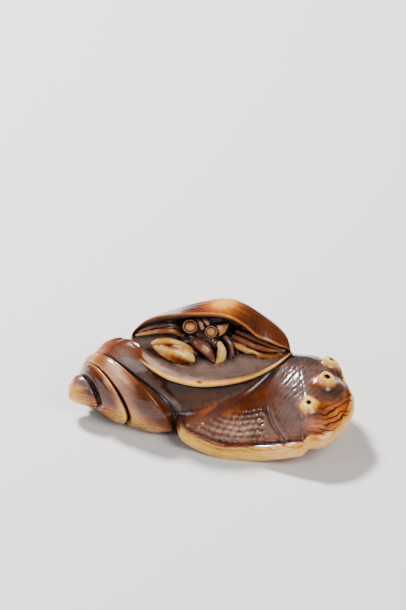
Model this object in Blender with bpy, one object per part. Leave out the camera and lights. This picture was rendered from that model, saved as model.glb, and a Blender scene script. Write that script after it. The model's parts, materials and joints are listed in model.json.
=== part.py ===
# Netsuke of three sea shells with a crab, carved from one piece.
# A half-open clam with the crab in its mouth stands between a spiral shell, on the
# left, and an abalone with three raised breathing holes, on the right.
# The carving's pose and proportions are shares of its length. +X runs along its length,
# -Y is the front, where the clam opens, and +Z is up from the table that it rests on.

import math

import bmesh
import bpy
from mathutils import Vector

# Driving sizes, in metres
LENGTH = 0.0552               # from the spiral shell's tip to the abalone's right edge
CORD_HOLE_RADIUS = 0.0017     # the smaller of the two cord holes in the underside
KNOT_HOLE_RADIUS = 0.0023     # the larger one, which hides the cord's knot
CORD_HOLE_SPACING = 0.0085    # between the two cord holes' middles
BREATHING_HOLE_RADIUS = 0.00045
BREATHING_HOLE_DEPTH = 0.0016
CLAM_LOWER_LIP = 0.00125      # width of the lower valve's edge at its widest
CLAM_UPPER_LIP = 0.00055
CLAM_LIP_HEIGHT = 0.0009
CLAM_LIP_OVERHANG = 0.0003
FOOT_DEPTH = 0.0006           # how much is worn flat off the abalone's foot, where the carving rests

# The carving is drawn in 55.2ths of its length, which are millimetres at this size.
SHARE = LENGTH / 55.2

# Mesh density
WELD_DISTANCE = 1e-3 * SHARE  # points nearer than this are one
SPIRAL_SIDES = 28             # steps to a turn
ABALONE_RINGS, ABALONE_SIDES = 24, 44
ABALONE_CROWDING = 26.0, 35.0   # sides gather at the far edge: degrees, and the way to the near one
CLAM_STATIONS = 28


def through(table, x):
    """The values at x on a smooth curve through the table's rows, each (x, value, value...)."""
    last = len(table) - 1
    i = 0
    while i < last - 1 and x > table[i + 1][0]:
        i += 1
    before, start, end, after = (table[max(0, min(last, k))] for k in (i - 1, i, i + 1, i + 2))
    span = end[0] - start[0]
    s = min(1.0, max(0.0, (x - start[0]) / span))
    found = []
    for k in range(1, len(start)):
        left = (end[k] - before[k]) / (end[0] - before[0]) * span
        right = (after[k] - start[k]) / (after[0] - start[0]) * span
        found.append(
            start[k] * (2 * s**3 - 3 * s**2 + 1)
            + left * (s**3 - 2 * s**2 + s)
            + end[k] * (3 * s**2 - 2 * s**3)
            + right * (s**3 - s**2)
        )
    return found if len(found) > 1 else found[0]


def around(table, degrees):
    """through() for a table in degrees that closes on itself after a full turn."""
    first = table[0][0]
    turned = (degrees - first) % 360 + first
    before = (table[-1][0] - 360, *table[-1][1:])
    after = [(row[0] + 360, *row[1:]) for row in table[:2]]
    return through([before, *table, *after], turned)


def smooth_step(low, high, x):
    s = min(1.0, max(0.0, (x - low) / (high - low)))
    return s * s * (3 - 2 * s)


# Scene

def clear_scene():
    for old in list(bpy.data.objects):
        bpy.data.objects.remove(old)


def new_collection(name):
    found = bpy.data.collections.new(name)
    bpy.context.scene.collection.children.link(found)
    return found


def new_object(name, mesh, collection, helper=True):
    """Helpers are joined to the carving or cut out of it, so they aren't rendered."""
    obj = bpy.data.objects.new(name, mesh)
    collection.objects.link(obj)
    if helper:
        obj.hide_render = True
        obj.display_type = "WIRE"
    return obj


def formed_sphere(name, collection, sides, rings, place, helper=True):
    """A UV sphere whose points place(polar, turn) moves, with polar from 0 to pi between its ends."""
    form = bmesh.new()
    bmesh.ops.create_uvsphere(form, u_segments=sides, v_segments=rings, radius=1.0)
    for vertex in form.verts:
        polar = math.acos(max(-1.0, min(1.0, -vertex.co.z)))
        vertex.co = Vector(place(polar, math.atan2(vertex.co.y, vertex.co.x))) * SHARE
    bmesh.ops.recalc_face_normals(form, faces=form.faces)
    mesh = bpy.data.meshes.new(name)
    form.to_mesh(mesh)
    form.free()
    return new_object(name, mesh, collection, helper)


def ellipsoid(name, collection, middle, half_sizes, long_way=(1, 0, 0), sides=14, rings=9):
    """A ball stretched to its half sizes, with its first half size along long_way."""
    long_axis = Vector(long_way).normalized()
    side_axis = Vector((0, 0, 1)).cross(long_axis).normalized()
    third_axis = long_axis.cross(side_axis)
    long_half, side_half, third_half = half_sizes

    def place(polar, turn):
        round_about = side_axis * side_half * math.cos(turn) + third_axis * third_half * math.sin(turn)
        return Vector(middle) + round_about * math.sin(polar) - long_axis * long_half * math.cos(polar)

    return formed_sphere(name, collection, sides, rings, place)


def tapered_tube(name, collection, points, radii, resolution=1, steps=3):
    """A tube along a smooth curve through the points, with those radii, as a closed mesh."""
    rows = [(float(k), *point, radius) for k, (point, radius) in enumerate(zip(points, radii))]
    count = steps * (len(points) - 1) + 1
    stops = [through(rows, k / steps) for k in range(count)]
    curve = bpy.data.curves.new(name, "CURVE")
    curve.dimensions = "3D"
    curve.bevel_depth = SHARE
    curve.bevel_resolution = resolution
    curve.use_fill_caps = True
    spline = curve.splines.new("POLY")
    spline.points.add(count - 1)
    for point, (x, y, z, radius) in zip(spline.points, stops):
        point.co = (x * SHARE, y * SHARE, z * SHARE, 1.0)
        point.radius = radius
    guide = new_object(name, curve, collection)
    graph = bpy.context.evaluated_depsgraph_get()
    mesh = bpy.data.meshes.new_from_object(guide.evaluated_get(graph))
    bpy.data.objects.remove(guide)
    form = bmesh.new()
    form.from_mesh(mesh)
    bmesh.ops.remove_doubles(form, verts=form.verts, dist=WELD_DISTANCE)
    bmesh.ops.recalc_face_normals(form, faces=form.faces)
    form.to_mesh(mesh)
    form.free()
    return new_object(name, mesh, collection)


# Spiral shell, on the left, with its tip out and low

SPIRAL_TIP = Vector((-28.0, 9.4, 5.0))       # where its axis starts
SPIRAL_FAR = Vector((-6.0, 6.2, 7.1))        # a point on the axis, under the clam
SPIRAL_TOP = Vector((0.0, 0.53, 0.848))      # square to the view, towards the shell's upper outline
SPIRAL_FRONT = Vector((0.0, -0.848, 0.53))
# By turns from the tip: along the axis and outwards, at the upper outline and at the lower one.
# A groove starts at the upper outline at each whole turn from 1.
SPIRAL_STATIONS = [
    (-1.0, 0.4, 0.0, 0.4, 0.0),
    (-0.5, 0.45, 0.8, 0.45, 0.7),
    (0.0, 0.7, 1.7, 0.6, 1.4),
    (0.5, 1.6, 2.9, 1.9, 2.2),
    (1.0, 3.0, 3.5, 4.4, 2.8),
    (1.5, 3.6, 4.5, 6.3, 3.5),
    (2.0, 4.2, 5.5, 8.8, 4.9),
    (2.5, 5.0, 6.5, 12.0, 6.1),
    (3.0, 6.2, 7.5, 16.5, 7.2),
    (3.5, 8.6, 9.3, 21.5, 7.5),
    (4.0, 12.4, 10.4, 25.0, 7.0),
    (4.5, 18.0, 9.0, 27.0, 5.0),
    (5.0, 24.0, 0.0, 24.0, 0.0),
]
SPIRAL_START, SPIRAL_TURNS = -1, 5
SPIRAL_ROWS = (0.0, 0.06, 0.14, 0.3, 0.52, 0.74, 0.88, 0.95)   # across a turn, between its grooves
SPIRAL_SKEW = 0.5             # how far each ring's front runs ahead, for its radius
SPIRAL_SKEWED_FROM = (0.5, 1.5)     # the skew comes in between these turns
SPIRAL_BULGE = 0.75           # how far a turn swells between two grooves
SPIRAL_SWOLLEN_TO = (2.8, 3.2)      # the swelling goes out between these turns
SPIRAL_GROWN_RADIUS = 6.0     # smaller rings have their bulge and grooves in proportion
SPIRAL_GROOVES = [            # from the first whole turn: depth, and half the width in turns
    (1.4, 0.13),
    (1.1, 0.07),
    (1.2, 0.12),
]
SPIRAL_STEP_DOWN = 2.3        # drop after the last groove, where the clam's wall takes over
SPIRAL_STEP_AT = (-0.03, 0.12)      # where it drops, in turns from that groove
SPIRAL_STEP_AWAY = (0.1, 1.2)       # and how far round the ring it comes in, in radians from the top


def spiral_point(station, whorl):
    """A point of the spiral shell, where whorl counts grooves and station counts rings."""
    axial_top, radius_top, axial_low, radius_low = through(SPIRAL_STATIONS, station)
    turn = (station - whorl) * 2 * math.pi
    high, front = math.cos(turn), math.sin(turn)
    axial = (axial_top + axial_low) / 2 + (axial_top - axial_low) / 2 * high
    radius = (radius_top + radius_low) / 2 + (radius_top - radius_low) / 2 * high
    axial += SPIRAL_SKEW * radius * front * smooth_step(*SPIRAL_SKEWED_FROM, station)
    size = min(1.0, radius / SPIRAL_GROWN_RADIUS)
    swell = smooth_step(0.0, 1.0, whorl) * (1 - smooth_step(*SPIRAL_SWOLLEN_TO, whorl))
    radius += SPIRAL_BULGE * size * swell * math.sin(math.pi * (whorl % 1.0))
    for k, (depth, width) in enumerate(SPIRAL_GROOVES):
        radius -= depth * size * (1 - smooth_step(0.0, width, abs(whorl - 1 - k)))
    lowered = smooth_step(*SPIRAL_STEP_AWAY, turn % (2 * math.pi))
    radius -= SPIRAL_STEP_DOWN * lowered * smooth_step(*SPIRAL_STEP_AT, whorl - len(SPIRAL_GROOVES))
    axis = (SPIRAL_FAR - SPIRAL_TIP).normalized()
    return SPIRAL_TIP + axis * axial + (SPIRAL_TOP * high + SPIRAL_FRONT * front) * max(0.0, radius)


def spiral_shell(parts):
    """A ribbon wound from the tip, each turn sewn to the one before along their groove."""
    form = bmesh.new()
    rows = len(SPIRAL_ROWS)
    steps = SPIRAL_SIDES * (SPIRAL_TURNS - 1 - SPIRAL_START)
    grid = []
    for i in range(steps + 1):
        whole, part = divmod(i, SPIRAL_SIDES)
        winding = []
        for across in SPIRAL_ROWS:
            whorl = SPIRAL_START + whole + across
            winding.append(form.verts.new(spiral_point(whorl + part / SPIRAL_SIDES, whorl) * SHARE))
        grid.append(winding)

    def corner(i, j):
        """Past its last row a ribbon goes on with the next turn's first row."""
        return grid[i][j] if j < rows else grid[i + SPIRAL_SIDES][0]

    for i in range(steps):
        whole_rows = rows if i + 1 + SPIRAL_SIDES <= steps else rows - 1
        for j in range(whole_rows):
            form.faces.new((corner(i, j), corner(i + 1, j), corner(i + 1, j + 1), corner(i, j + 1)))
    bmesh.ops.remove_doubles(form, verts=form.verts, dist=WELD_DISTANCE)
    bmesh.ops.dissolve_degenerate(form, dist=WELD_DISTANCE, edges=form.edges)
    bmesh.ops.holes_fill(form, edges=[edge for edge in form.edges if edge.is_boundary], sides=0)
    bmesh.ops.triangulate(form, faces=[face for face in form.faces if len(face.verts) > 4])
    bmesh.ops.recalc_face_normals(form, faces=form.faces)
    mesh = bpy.data.meshes.new("spiral_shell")
    form.to_mesh(mesh)
    form.free()
    return new_object("spiral_shell", mesh, parts)


# Abalone, on the right, raised at its right side

ABALONE_PEAK = Vector((17.5, 7.5, 13.6))
# Its edge seen from above, about the peak: degrees, distance, and the edge's lowest height
ABALONE_EDGE = [
    (44.0, 7.6, 7.6),
    (99.0, 7.6, 7.4),
    (140.0, 12.2, 7.0),
    (170.0, 19.8, 6.0),
    (188.0, 23.2, 4.2),
    (205.0, 25.5, 2.3),
    (212.6, 23.2, 0.7),
    (224.8, 20.6, 0.0),
    (236.0, 18.3, 0.1),
    (250.5, 17.5, 1.1),
    (270.0, 18.1, 3.1),
    (283.3, 18.2, 3.4),
    (293.4, 17.1, 4.6),
    (321.0, 13.0, 7.2),
    (345.0, 9.0, 7.7),
]
ABALONE_BAND = 2.4            # height of its thick edge
ABALONE_BAND_SWELL = 0.55     # and how far that edge is rounded out
ABALONE_STEEPNESS = 1.9       # power of the back's fall from the peak to the edge
ABALONE_NOTCH = (270.5, 275.5, 1.5)   # the edge steps up here, in front of the holes: degrees, and height
ABALONE_NOTCH_FADES = (281.0, 317.0)  # and comes down again between these degrees
ABALONE_FOOT = Vector((9.0, 2.5, 0.0))
ABALONE_FOOT_REACH = 0.62     # share of the way in at which the underside is down to the foot
ABALONE_BACK_END, ABALONE_BAND_END = 0.55, 0.68   # shares of the mesh on the back, and with the band
# Breathing holes: x, y, half width of the mound, and its height
MOUND_FALL = 1.6              # how steeply a mound falls away for that half width
MOUNDS = [
    (19.1, -4.8, 2.2, 0.8),
    (22.9, 1.0, 2.4, 1.6),
    (23.6, 8.0, 2.5, 1.8),
]
# The raised ring round each hole: half its thickness and half its width
MOUND_RINGS = [(0.55, 1.35), (0.9, 1.6), (0.9, 1.6)]
RING_SUNK = 0.7               # share of that thickness by which a ring's middle is under the crown
SLOPE_STEP = 0.5              # the back's slope is measured this far to each side
HOLE_TILT = Vector((0.1, -0.35, 0.0))   # the holes are bored from the front


def abalone_edge(degrees):
    reach, low = around(ABALONE_EDGE, degrees)
    start, end, rise = ABALONE_NOTCH
    stepped = smooth_step(start, end, degrees) * (1 - smooth_step(*ABALONE_NOTCH_FADES, degrees))
    return reach, low + rise * stepped


def abalone_top(x, y):
    """Height of the abalone's back at x, y, without the mounds."""
    away = Vector((x - ABALONE_PEAK.x, y - ABALONE_PEAK.y))
    reach, low = abalone_edge(math.degrees(math.atan2(away.y, away.x)) % 360)
    share = min(1.0, away.length / reach)
    edge = low + ABALONE_BAND
    return edge + (ABALONE_PEAK.z - edge) * (1 - share**ABALONE_STEEPNESS)


def abalone_point(polar, turn):
    """polar runs from the peak over the back, round the thick edge and under to the foot."""
    crowding, near = ABALONE_CROWDING
    turn += math.radians(crowding) * math.sin(turn - math.radians(near))
    reach, low = abalone_edge(math.degrees(turn) % 360)
    step = polar / math.pi
    outward = Vector((math.cos(turn), math.sin(turn), 0.0))
    peak_flat = Vector((ABALONE_PEAK.x, ABALONE_PEAK.y, 0.0))
    if step < ABALONE_BACK_END:
        found = peak_flat + outward * reach * (step / ABALONE_BACK_END)
        found.z = abalone_top(found.x, found.y)
        for x, y, width, height in MOUNDS:
            off = math.hypot(found.x - x, found.y - y) / width
            found.z += height * math.exp(-MOUND_FALL * off**2)
        return found
    edge = peak_flat + outward * reach
    if step < ABALONE_BAND_END:
        down = (step - ABALONE_BACK_END) / (ABALONE_BAND_END - ABALONE_BACK_END)
        found = edge + outward * ABALONE_BAND_SWELL * math.sin(math.pi * down)
        found.z = low + ABALONE_BAND * (1 - down)
        return found
    inward = (step - ABALONE_BAND_END) / (1 - ABALONE_BAND_END)
    found = edge.lerp(ABALONE_FOOT, inward)
    worn_off = FOOT_DEPTH / SHARE
    found.z = low - (worn_off + low) * smooth_step(0.0, ABALONE_FOOT_REACH, inward)
    return found


def mound_top(mound):
    """The crown of a mound, and the way its breathing hole faces."""
    x, y, _, height = mound
    slope = Vector((
        abalone_top(x - SLOPE_STEP, y) - abalone_top(x + SLOPE_STEP, y),
        abalone_top(x, y - SLOPE_STEP) - abalone_top(x, y + SLOPE_STEP),
        2 * SLOPE_STEP,
    ))
    return Vector((x, y, abalone_top(x, y) + height)), slope.normalized()


def abalone(parts):
    for k, (mound, (thick, wide)) in enumerate(zip(MOUNDS, MOUND_RINGS)):
        crown, facing = mound_top(mound)
        middle = crown - facing * thick * RING_SUNK
        ellipsoid(f"breathing_hole_ring_{k}", parts, middle, (thick, wide, wide), facing, sides=12, rings=7)
    return formed_sphere("abalone", parts, ABALONE_SIDES, ABALONE_RINGS, abalone_point)


# Clam, in the middle, open towards the front

CLAM_LEFT = Vector((-15.3, 13.2, 15.3))      # where the two valves meet at the left
CLAM_RIGHT = Vector((15.7, 9.6, 14.2))
# By degrees from the left end to the right: how far forward the lower edge is, how high
# the upper edge is, how far back the hinge side is, and how high the crown shows from the front
CLAM_SHAPE = [
    (0.0, 0.0, 0.0, 0.0, 0.0),
    (20.0, 5.1, 2.7, 2.6, 1.9),
    (40.0, 9.0, 5.9, 5.2, 4.1),
    (60.0, 12.0, 7.75, 7.6, 5.9),
    (80.0, 13.0, 8.65, 9.6, 7.9),
    (95.0, 12.2, 8.9, 10.4, 9.1),
    (105.0, 11.2, 8.3, 10.6, 9.25),
    (115.0, 9.9, 6.5, 10.4, 8.6),
    (125.0, 8.2, 3.9, 9.9, 7.4),
    (140.0, 5.4, 2.4, 8.4, 5.5),
    (160.0, 1.8, 0.8, 5.0, 3.1),
    (180.0, 0.0, 0.0, 0.0, 0.0),
]
CLAM_CROWN_BACK = 0.42        # place of the crown, as a share of the way back to the hinge side
CLAM_DEPTH = 14.0             # of the lower valve under that line
CLAM_SLOPE = -0.09            # rise of the lower edge towards the front
CLAM_LEAN = 1 / 3             # forward lean of the upper edge for its height
HINGE_CREASE = 0.12           # how far both valves swell past their hinge line, for its distance
CLAM_BOWL = 3.0               # depth of the hollow under the lower edge
CLAM_INMOST = (0.38, 0.12)    # the hollow's inmost point: shares of the way back, and of the rise

# The clam leans so that it is seen from the front and above, by these shares
VIEW_LEVEL, VIEW_DOWN = 0.848, 0.53
VIEW_LIFT = VIEW_LEVEL - VIEW_DOWN * CLAM_LEAN
MOUTH_GROWN = 0.25            # how far the cleared hollow reaches into the clam's wall
MOUTH_BULGE = 0.12            # and out of the opening, as a share of its height
MOUTH_SIDES = 16
MOUTH_CEILING_END, MOUTH_FLOOR_END = 0.3, 0.62   # shares of its sides on the ceiling, and on both

# Mesh rows on each stretch of the section
CLAM_ROWS = {
    "lip": 1, "undercut": 1, "front": 7, "under": 5, "back": 4,
    "crown": 6, "upper_lip": 1, "ceiling": 7, "floor": 9, "lip_top": 1,
}
CLAM_SIDES = sum(CLAM_ROWS.values())


def arc(start, start_pull, end, end_pull, s):
    """A point on the Bezier curve from start to end, with its handles as offsets."""
    handles = (start, start + start_pull, end + end_pull, end)
    weights = ((1 - s) ** 3, 3 * s * (1 - s) ** 2, 3 * s**2 * (1 - s), s**3)
    return sum((handle * weight for handle, weight in zip(handles, weights)), Vector((0.0, 0.0)))


def clam_arcs(degrees, grown=0.0):
    """The C-shaped section at that station, as arcs: each its start, its end and their pulls.
    Points are forward and up from the line between the clam's ends."""
    front, rise, back, crown = through(CLAM_SHAPE, degrees)
    size = math.sin(math.radians(degrees))
    depth = CLAM_DEPTH * size**0.8
    lip, upper_lip, lip_height, overhang = (
        value / SHARE * size**0.5
        for value in (CLAM_LOWER_LIP, CLAM_UPPER_LIP, CLAM_LIP_HEIGHT, CLAM_LIP_OVERHANG)
    )
    flat = Vector((0.0, 0.0))
    lip_out = Vector((front, CLAM_SLOPE * front))
    lip_in = lip_out + Vector((-lip, -0.1 * lip))
    lip_foot = lip_out + Vector((0.0, -lip_height))
    wall = lip_foot + Vector((-overhang, -overhang))
    upper_out = Vector((CLAM_LEAN * rise, rise))
    upper_in = upper_out + Vector((-0.3 * upper_lip, -upper_lip))
    hinge = Vector((-back, 0.0))
    bottom = Vector((0.0, -depth))
    top = Vector((-CLAM_CROWN_BACK * back, 0.0))
    top.y = (crown + VIEW_DOWN * top.x) / VIEW_LEVEL
    inmost = Vector((-CLAM_INMOST[0] * back - grown, CLAM_INMOST[1] * rise))
    bowl = CLAM_BOWL * size + grown
    level = Vector((VIEW_LEVEL, VIEW_DOWN))
    swell = Vector((0.0, 0.12 * max(0.0, crown - VIEW_LIFT * rise)))
    crease = HINGE_CREASE * back
    return {
        "lip": (lip_out, flat, lip_foot, flat),
        "undercut": (lip_foot, flat, wall, flat),
        "front": (wall, Vector((0.02 * front, -0.6 * depth)), bottom, Vector((0.75 * front, 0.0))),
        "under": (bottom, Vector((-0.7 * back, 0.0)), hinge, Vector((-crease, -0.45 * depth))),
        "back": (hinge, Vector((-crease, 0.4 * top.y)), top, level * -0.3 * back),
        "crown": (top, level * 0.35 * (upper_out.x - top.x), upper_out, (top - upper_out) * 0.2 + swell),
        "upper_lip": (upper_out, flat, upper_in, flat),
        "ceiling": (
            upper_in, (top - upper_out) * 0.35 + Vector((0.0, -0.15 * rise)), inmost, Vector((0.0, 0.3 * rise))
        ),
        "floor": (inmost, Vector((0.0, -bowl)), lip_in, Vector((-0.12 * front, -0.75 * bowl))),
        "lip_top": (lip_in, flat, lip_out, flat),
    }


def clam_section(degrees, s):
    """The point at s, from 0 to 1, round the section at that station."""
    arcs = clam_arcs(degrees)
    row = s * CLAM_SIDES
    for name, rows in CLAM_ROWS.items():
        if row <= rows:
            return arc(*arcs[name], row / rows)
        row -= rows
    return arcs["lip"][0]


def mouth_section(degrees, s):
    """The clam's hollow, closed by a bulge in front of the opening, to clear the other shells from it."""
    arcs = clam_arcs(degrees, MOUTH_GROWN)
    if s < MOUTH_CEILING_END:
        return arc(*arcs["ceiling"], s / MOUTH_CEILING_END)
    if s < MOUTH_FLOOR_END:
        return arc(*arcs["floor"], (s - MOUTH_CEILING_END) / (MOUTH_FLOOR_END - MOUTH_CEILING_END))
    low, high = arcs["floor"][2], arcs["ceiling"][0]
    part = (s - MOUTH_FLOOR_END) / (1 - MOUTH_FLOOR_END)
    return low.lerp(high, part) + Vector((MOUTH_BULGE * math.sin(math.pi * part), 0.0)) * (high - low).length


def clam_point(polar, turn, section=clam_section):
    along = (1 - math.cos(polar)) / 2
    forward, up = section(math.degrees(polar), (turn / (2 * math.pi)) % 1.0)
    return CLAM_LEFT.lerp(CLAM_RIGHT, along) + Vector((0.0, -forward, up))


def clam(collection):
    return formed_sphere("shells_with_crab", collection, CLAM_SIDES, CLAM_STATIONS, clam_point, helper=False)


def clear_mouth(shell, hollows):
    """Takes the clam's hollow out of a shell that runs under it."""
    def place(polar, turn):
        return clam_point(polar, turn, mouth_section)

    hollow = hollows.objects.get("clam_hollow")
    if hollow is None:
        hollow = formed_sphere("clam_hollow", hollows, MOUTH_SIDES, CLAM_STATIONS, place)
    cut = shell.modifiers.new("clear_mouth", "BOOLEAN")
    cut.operation = "DIFFERENCE"
    cut.object = hollow
    cut.solver = "EXACT"


# Crab, facing out of the clam's mouth

# The middles of its rounded forms, with their half sizes
CRAB_BODY, CRAB_BODY_SIZES = Vector((-0.9, 14.0, 17.0)), (5.4, 3.6, 3.2)
CRAB_BELLY, CRAB_BELLY_SIZES = Vector((-1.2, 11.8, 14.0)), (6.6, 3.4, 3.0)
CHEEK, CHEEK_SIZES, CHEEK_WAY = Vector((2.6, 11.8, 18.0)), (2.2, 1.3, 1.5), (1.0, 0.0, 0.3)
CRAB_EYES = [Vector((-3.95, 11.0, 18.95)), Vector((0.1, 10.5, 18.15))]
EYE_RADIUS = 0.75
SOCKET_RADIUS = 1.45
SOCKET_ROOT_RADIUS = 1.9      # where the stalk leaves the body
SOCKET_ROOT = 0.4             # that place, as a share of the way from the body to the eye
SOCKET_BEHIND_EYE = Vector((0.0, 0.35, -0.2))
LEG_TAPER = (1.0, 1.1, 0.9, 0.45)
FINGER_TAPER = (1.0, 1.05, 0.85, 0.4)
# Each leg runs from the body to the mouth's corner: its points and its radius
LEFT_LEGS = [
    ([(-4.5, 14.0, 17.2), (-8.0, 12.6, 17.7), (-11.3, 12.2, 17.0), (-14.3, 12.9, 15.7)], 0.75),
    ([(-4.5, 14.4, 18.2), (-8.2, 13.0, 18.6), (-11.2, 12.6, 17.9), (-13.9, 13.1, 16.2)], 0.75),
    ([(-4.0, 15.0, 19.0), (-7.8, 13.6, 19.5), (-10.8, 13.2, 18.7), (-13.5, 13.5, 16.7)], 0.7),
]
RIGHT_LEGS = [
    ([(2.8, 13.4, 15.6), (6.6, 10.4, 15.9), (10.4, 9.4, 14.6), (15.2, 9.4, 14.0)], 0.8),
    ([(3.0, 13.6, 16.6), (7.2, 11.0, 17.0), (11.0, 10.0, 15.6), (15.1, 9.7, 14.4)], 0.8),
    ([(3.0, 14.0, 17.6), (7.2, 11.8, 17.9), (11.0, 10.8, 16.5), (14.9, 10.0, 14.8)], 0.75),
]
# Each claw is a palm, with its fingers and an arm to the body
CLAWS = [
    {
        "name": "left_claw",
        "palm": ((-7.1, 8.6, 14.6), (3.8, 1.8, 1.65), (7.0, 0.6, -4.2)),
        "fingers": [
            ([(-4.2, 9.6, 14.6), (-6.2, 9.3, 15.9), (-8.4, 8.9, 16.6), (-10.3, 8.6, 16.4)], 0.85),
        ],
        "arm": ([(-2.0, 13.0, 15.4), (-3.2, 11.2, 14.0), (-4.6, 9.4, 13.4)], 1.6),
    },
    {
        "name": "right_claw",
        "palm": ((1.6, 8.7, 14.0), (2.0, 1.4, 1.05), (-0.1, -1.0, -2.4)),
        "fingers": [
            ([(-3.2, 10.6, 16.2), (-2.2, 9.6, 16.0), (-0.8, 8.6, 14.9), (0.4, 8.0, 13.4)], 1.2),
            ([(1.0, 11.0, 16.6), (3.2, 10.4, 15.8), (4.2, 9.4, 14.2), (3.2, 8.4, 12.2)], 0.75),
        ],
        "arm": ([(-0.6, 13.2, 16.0), (1.6, 11.6, 15.2), (2.0, 10.2, 14.6)], 1.4),
    },
]


def crab(parts):
    ellipsoid("crab_body", parts, CRAB_BODY, CRAB_BODY_SIZES, sides=18, rings=12)
    ellipsoid("crab_belly", parts, CRAB_BELLY, CRAB_BELLY_SIZES, sides=18, rings=10)
    ellipsoid("crab_cheek", parts, CHEEK, CHEEK_SIZES, CHEEK_WAY, sides=10, rings=7)
    for k, eye in enumerate(CRAB_EYES):
        ellipsoid(f"crab_eye_{k}", parts, eye, (EYE_RADIUS,) * 3, sides=10, rings=7)
        socket = [CRAB_BODY.lerp(eye, SOCKET_ROOT), eye + SOCKET_BEHIND_EYE]
        radii = (SOCKET_ROOT_RADIUS, SOCKET_RADIUS)
        tapered_tube(f"crab_eye_socket_{k}", parts, socket, radii, resolution=2)
    for side, legs in (("left", LEFT_LEGS), ("right", RIGHT_LEGS)):
        for k, (points, radius) in enumerate(legs):
            radii = [radius * share for share in LEG_TAPER]
            tapered_tube(f"crab_{side}_leg_{k}", parts, points, radii)
    for claw in CLAWS:
        middle, half_sizes, way = claw["palm"]
        ellipsoid(claw["name"], parts, middle, half_sizes, way)
        for k, (points, radius) in enumerate(claw["fingers"]):
            radii = [radius * share for share in FINGER_TAPER]
            tapered_tube(f"{claw['name']}_finger_{k}", parts, points, radii)
        points, radius = claw["arm"]
        tapered_tube(f"{claw['name']}_arm", parts, points, (radius,) * len(points))


# Cuts: the breathing holes, the cord tunnel and the flat places that it rests on

CORD_HOLES_MIDDLE = Vector((12.5, 1.5))
CORD_HOLE_RISE = 1.2          # straight run of each hole before the bend
CORD_BEND_HEIGHT = 0.7        # height of the bend, for its half width
CORD_BEND_STEPS = 8


def straight_drill(name, cutters, start, end, radius, sides=10):
    way = end - start
    form = bmesh.new()
    bmesh.ops.create_cone(
        form, cap_ends=True, segments=sides, radius1=radius, radius2=radius, depth=way.length
    )
    turn = way.to_track_quat("Z", "Y").to_matrix().to_4x4()
    turn.translation = (start + end) / 2
    bmesh.ops.transform(form, matrix=turn, verts=form.verts)
    mesh = bpy.data.meshes.new(name)
    form.to_mesh(mesh)
    form.free()
    return new_object(name, mesh, cutters)


def breathing_holes(cutters):
    for k, mound in enumerate(MOUNDS):
        crown, facing = mound_top(mound)
        way = (facing + HOLE_TILT).normalized() * BREATHING_HOLE_DEPTH
        start = crown * SHARE + way
        end = crown * SHARE - way
        straight_drill(f"breathing_hole_{k}", cutters, start, end, BREATHING_HOLE_RADIUS)


def cord_tunnel(cutters):
    """A half-ring tunnel that joins the two cord holes above the underside."""
    bend = CORD_HOLE_SPACING / SHARE / 2
    last = CORD_BEND_STEPS
    points, radii = [], []
    for k in range(-1, last + 2):
        share = min(max(k, 0), last) / last
        height = CORD_HOLE_RISE if 0 <= k <= last else -CORD_HOLE_RISE
        across = -bend * math.cos(math.pi * share)
        up = height + bend * CORD_BEND_HEIGHT * math.sin(math.pi * share)
        points.append((CORD_HOLES_MIDDLE.x + across, CORD_HOLES_MIDDLE.y, up))
        radii.append((CORD_HOLE_RADIUS + (KNOT_HOLE_RADIUS - CORD_HOLE_RADIUS) * share) / SHARE)
    tapered_tube("cord_tunnel", cutters, points, radii, resolution=4, steps=1)


def resting_flats(cutters):
    """A block under the table top's level, which trims every bulge that reaches into it."""
    form = bmesh.new()
    bmesh.ops.create_cube(form, size=2 * LENGTH)
    for vertex in form.verts:
        vertex.co.z -= LENGTH
    mesh = bpy.data.meshes.new("table_top")
    form.to_mesh(mesh)
    form.free()
    return new_object("table_top", mesh, cutters)


# Finish

def ivory_material():
    finish = bpy.data.materials.new("stained_ivory")
    finish.use_nodes = True
    shader = finish.node_tree.nodes["Principled BSDF"]
    shader.inputs["Base Color"].default_value = (0.33, 0.13, 0.05, 1.0)
    shader.inputs["Roughness"].default_value = 0.28
    shader.inputs["Metallic"].default_value = 0.0
    return finish


def boolean(obj, operation, collection):
    step = obj.modifiers.new(operation.lower(), "BOOLEAN")
    step.operation = operation
    step.operand_type = "COLLECTION"
    step.collection = collection
    step.solver = "EXACT"


def stand_on_origin(forms, cutters):
    """Moves everything so that the middle of the carving's footprint is at the origin."""
    points = [vertex.co for form in forms for vertex in form.data.vertices]
    middle = [(min(p[k] for p in points) + max(p[k] for p in points)) / 2 for k in (0, 1)]
    for obj in [*forms, *cutters]:
        obj.location = (-middle[0], -middle[1], 0.0)
        obj.data.shade_smooth()


def build():
    clear_scene()
    netsuke = new_collection("netsuke")
    parts = new_collection("joined_forms")
    cutters = new_collection("cutters")
    hollows = new_collection("hollows")
    carving = clam(netsuke)
    for shell in (spiral_shell(parts), abalone(parts)):
        clear_mouth(shell, hollows)
    crab(parts)
    breathing_holes(cutters)
    cord_tunnel(cutters)
    resting_flats(cutters)
    stand_on_origin([carving, *parts.objects], [*cutters.objects, *hollows.objects])
    boolean(carving, "UNION", parts)
    boolean(carving, "DIFFERENCE", cutters)
    carving.data.materials.append(ivory_material())


build()
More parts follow.
